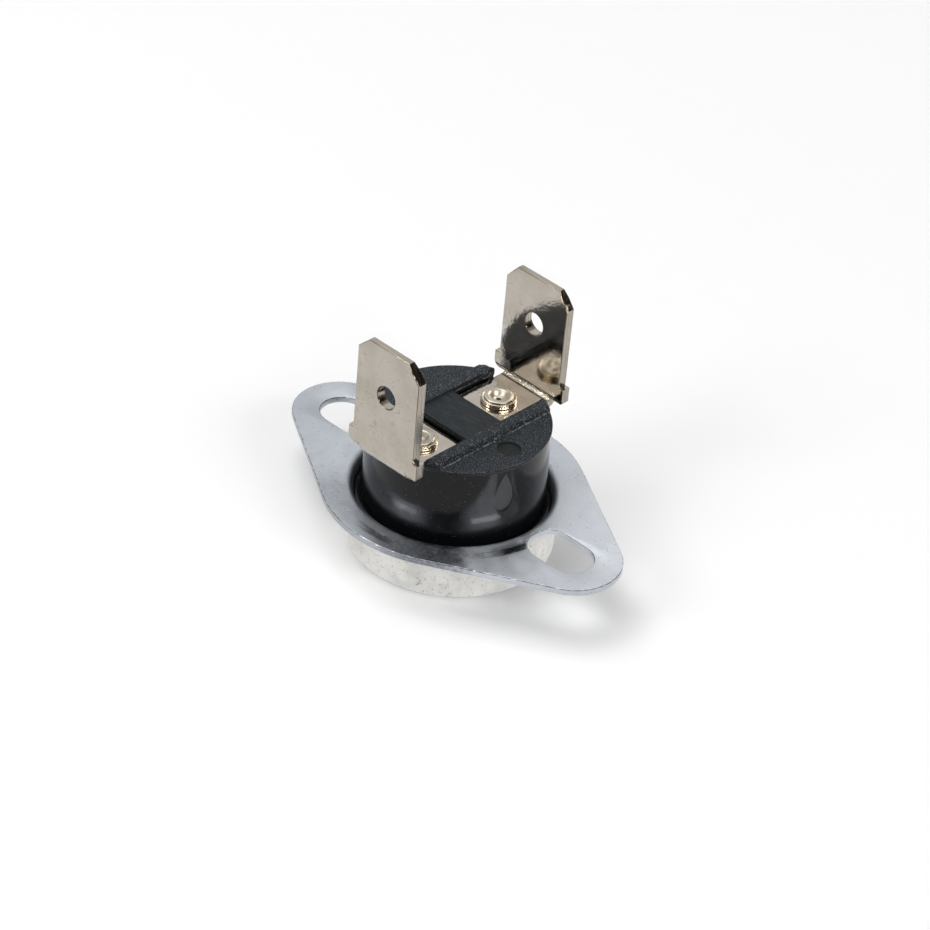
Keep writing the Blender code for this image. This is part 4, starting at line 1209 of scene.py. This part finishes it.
inner_finishes = {
    "contact_arm": rolled("rolled_beryllium_copper", "C08E50", "A87A40", 0.24),
    "fixed_contact_plate": rolled("rolled_brass_strip", "C4A262", "AE8C50", 0.26),
    "moving_contact": rolled("silver_contact", "DADAD6", "C6C6C0", 0.24),
    "fixed_contact": rolled("silver_contact_fixed", "D6D6D2", "C2C2BC", 0.26),
    "bimetal_disc": rolled("rolled_bimetal", "A8A6A0", "8E8C86", 0.28),
    "push_pin": fired("fired_steatite", "EEEBE2", "DCD8CC", 0.42, 0.08),
    "disc_guide": fired("brown_phenolic", "64503E", "4A3A2C", 0.45, 0.12),
}
for name, material in inner_finishes.items():
    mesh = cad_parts[name].data
    mesh.materials.clear()
    mesh.materials.append(material)
print("finished", len(inner_finishes), "inner parts")

# %% [markdown]
# ## Tying the pieces to the frame
#
# Each new piece rides on the fixed housing and stands for its CAD node, which is hidden. The
# moving parts are CAD nodes already, so they follow their joints as they are.

# %% Ride and replace
dressed = [(sheet, "flange_cup", "aluminium_sheet"), (case, "case", "black_moulding")]
for place, (washer, rivet) in fasteners.items():
    dressed += [(washer, f"washer_{place}", "plated_brass"), (rivet, f"rivet_{place}", "rivet_metal")]
    dressed += [(tabs[place], f"terminal_{place}", "plated_brass")]
for piece, node, slot_name in dressed:
    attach(piece, "housing")
    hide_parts(node)

# %% [markdown]
# ## Floor, background and light
#
# The part stands on a white sweep under soft light. The floor is a plain pale surface that takes
# the shadow. To make the background pure white without more light on the part, the floor also
# glows a little, but only for rays that come from the camera, a mirror or glass.

# %% Floor and world
FLOOR_GLOW = 0.03
bm = bmesh.new()
bmesh.ops.create_grid(bm, x_segments=2, y_segments=2, size=1.5)
floor = link("floor", mesh_of(bm, "floor"))
material, tree, shader = new_finish("white_paper_floor")
tree.nodes.remove(shader)
rays = add(tree, "ShaderNodeLightPath").outputs
strength = add(tree, "ShaderNodeMath", {0: rays["Is Camera Ray"], 1: FLOOR_GLOW}, operation="MULTIPLY").outputs[0]
paper = add(tree, "ShaderNodeBsdfDiffuse", {"Color": linear("F0F0F0")}).outputs[0]
glow = add(tree, "ShaderNodeEmission", {"Color": (1, 1, 1, 1), "Strength": strength}).outputs[0]
lit = add(tree, "ShaderNodeAddShader", {0: paper, 1: glow}).outputs[0]
white = add(tree, "ShaderNodeEmission", {"Color": (1, 1, 1, 1), "Strength": 1.0}).outputs[0]
mirrored = add(tree, "ShaderNodeMath", {0: rays["Is Glossy Ray"], 1: rays["Is Transmission Ray"]}, operation="MAXIMUM")
shown = add(tree, "ShaderNodeMixShader", {0: mirrored.outputs[0], 1: lit, 2: white}).outputs[0]
tree.links.new(shown, tree.nodes["Material Output"].inputs["Surface"])
floor.data.materials.append(material)

world = bpy.data.worlds.new("studio")
bpy.context.scene.world = world
world.use_nodes = True
tree = world.node_tree
rays = add(tree, "ShaderNodeLightPath").outputs
where = add(tree, "ShaderNodeTexCoord").outputs["Generated"]
height = add(tree, "ShaderNodeSeparateXYZ", {0: where}).outputs["Z"]
room = add(tree, "ShaderNodeMapRange", {0: height, 1: 0.0, 2: 0.2, 3: 0.12, 4: 0.95}).outputs[0]
for dark, edge, core in ((back, 0.5, 0.95), (Vector((0.66, 0.60, 0.45)), 0.90, 0.96)):
    facing = add(tree, "ShaderNodeVectorMath", {0: where, 1: tuple(dark)}, operation="DOT_PRODUCT").outputs["Value"]
    card = add(tree, "ShaderNodeMapRange", {0: facing, 1: core, 2: edge, 3: 0.06, 4: 1.0}).outputs[0]
    room = add(tree, "ShaderNodeMath", {0: room, 1: card}, operation="MULTIPLY").outputs[0]
card = add(tree, "ShaderNodeVectorMath", {0: where, 1: (-0.54, -0.61, 0.58)}, operation="DOT_PRODUCT").outputs["Value"]
card = add(tree, "ShaderNodeMapRange", {0: card, 1: 0.90, 2: 0.96, 3: 0.0, 4: 0.6}).outputs[0]
room = add(tree, "ShaderNodeMath", {0: room, 1: card}, operation="ADD").outputs[0]
mirrored = level_mix(tree, rays["Is Glossy Ray"], 0.38, room)
strength = level_mix(tree, rays["Is Camera Ray"], mirrored, 1.0)
tree.links.new(strength, tree.nodes["Background"].inputs["Strength"])
tree.nodes["Background"].inputs["Color"].default_value = (1, 1, 1, 1)

# %% Lamps
LAMP_AIM = Vector((0, 0, 8 * MM))


def softbox(name, place, size, power):
    """An oblong area lamp, with its size in metres and its power in watts, that looks at the part."""
    lamp = bpy.data.lights.new(name, "AREA")
    lamp.shape = "RECTANGLE"
    lamp.size, lamp.size_y = size
    lamp.energy = power
    holder = link(name, lamp)
    holder.location = place
    holder.rotation_euler = (LAMP_AIM - Vector(place)).to_track_quat("-Z", "Y").to_euler()
    return holder


softbox("overhead", (-0.19, -0.10, 0.68), (0.50, 0.50), 2.8)
# A wide, low lamp stands at each side. The flange throws its reflection on the moulding as an arc, so
# it's bright in reflections, while a softer one in the same place lights the floor
for name, place in (("right", (0.560, -0.054, 0.416)), ("left", (-0.107, -0.553, 0.416))):
    softbox(f"strip_{name}", place, (0.42, 0.10), 5.2).visible_diffuse = False
    softbox(f"fill_{name}", place, (0.28, 0.20), 1.35).visible_glossy = False
print("lamps", [light.name for light in bpy.data.lights])

# %% [markdown]
# ## Finish
#
# The view transform stays Standard, so that colours come out as they're written.

bpy.context.scene.view_settings.view_transform = "Standard"
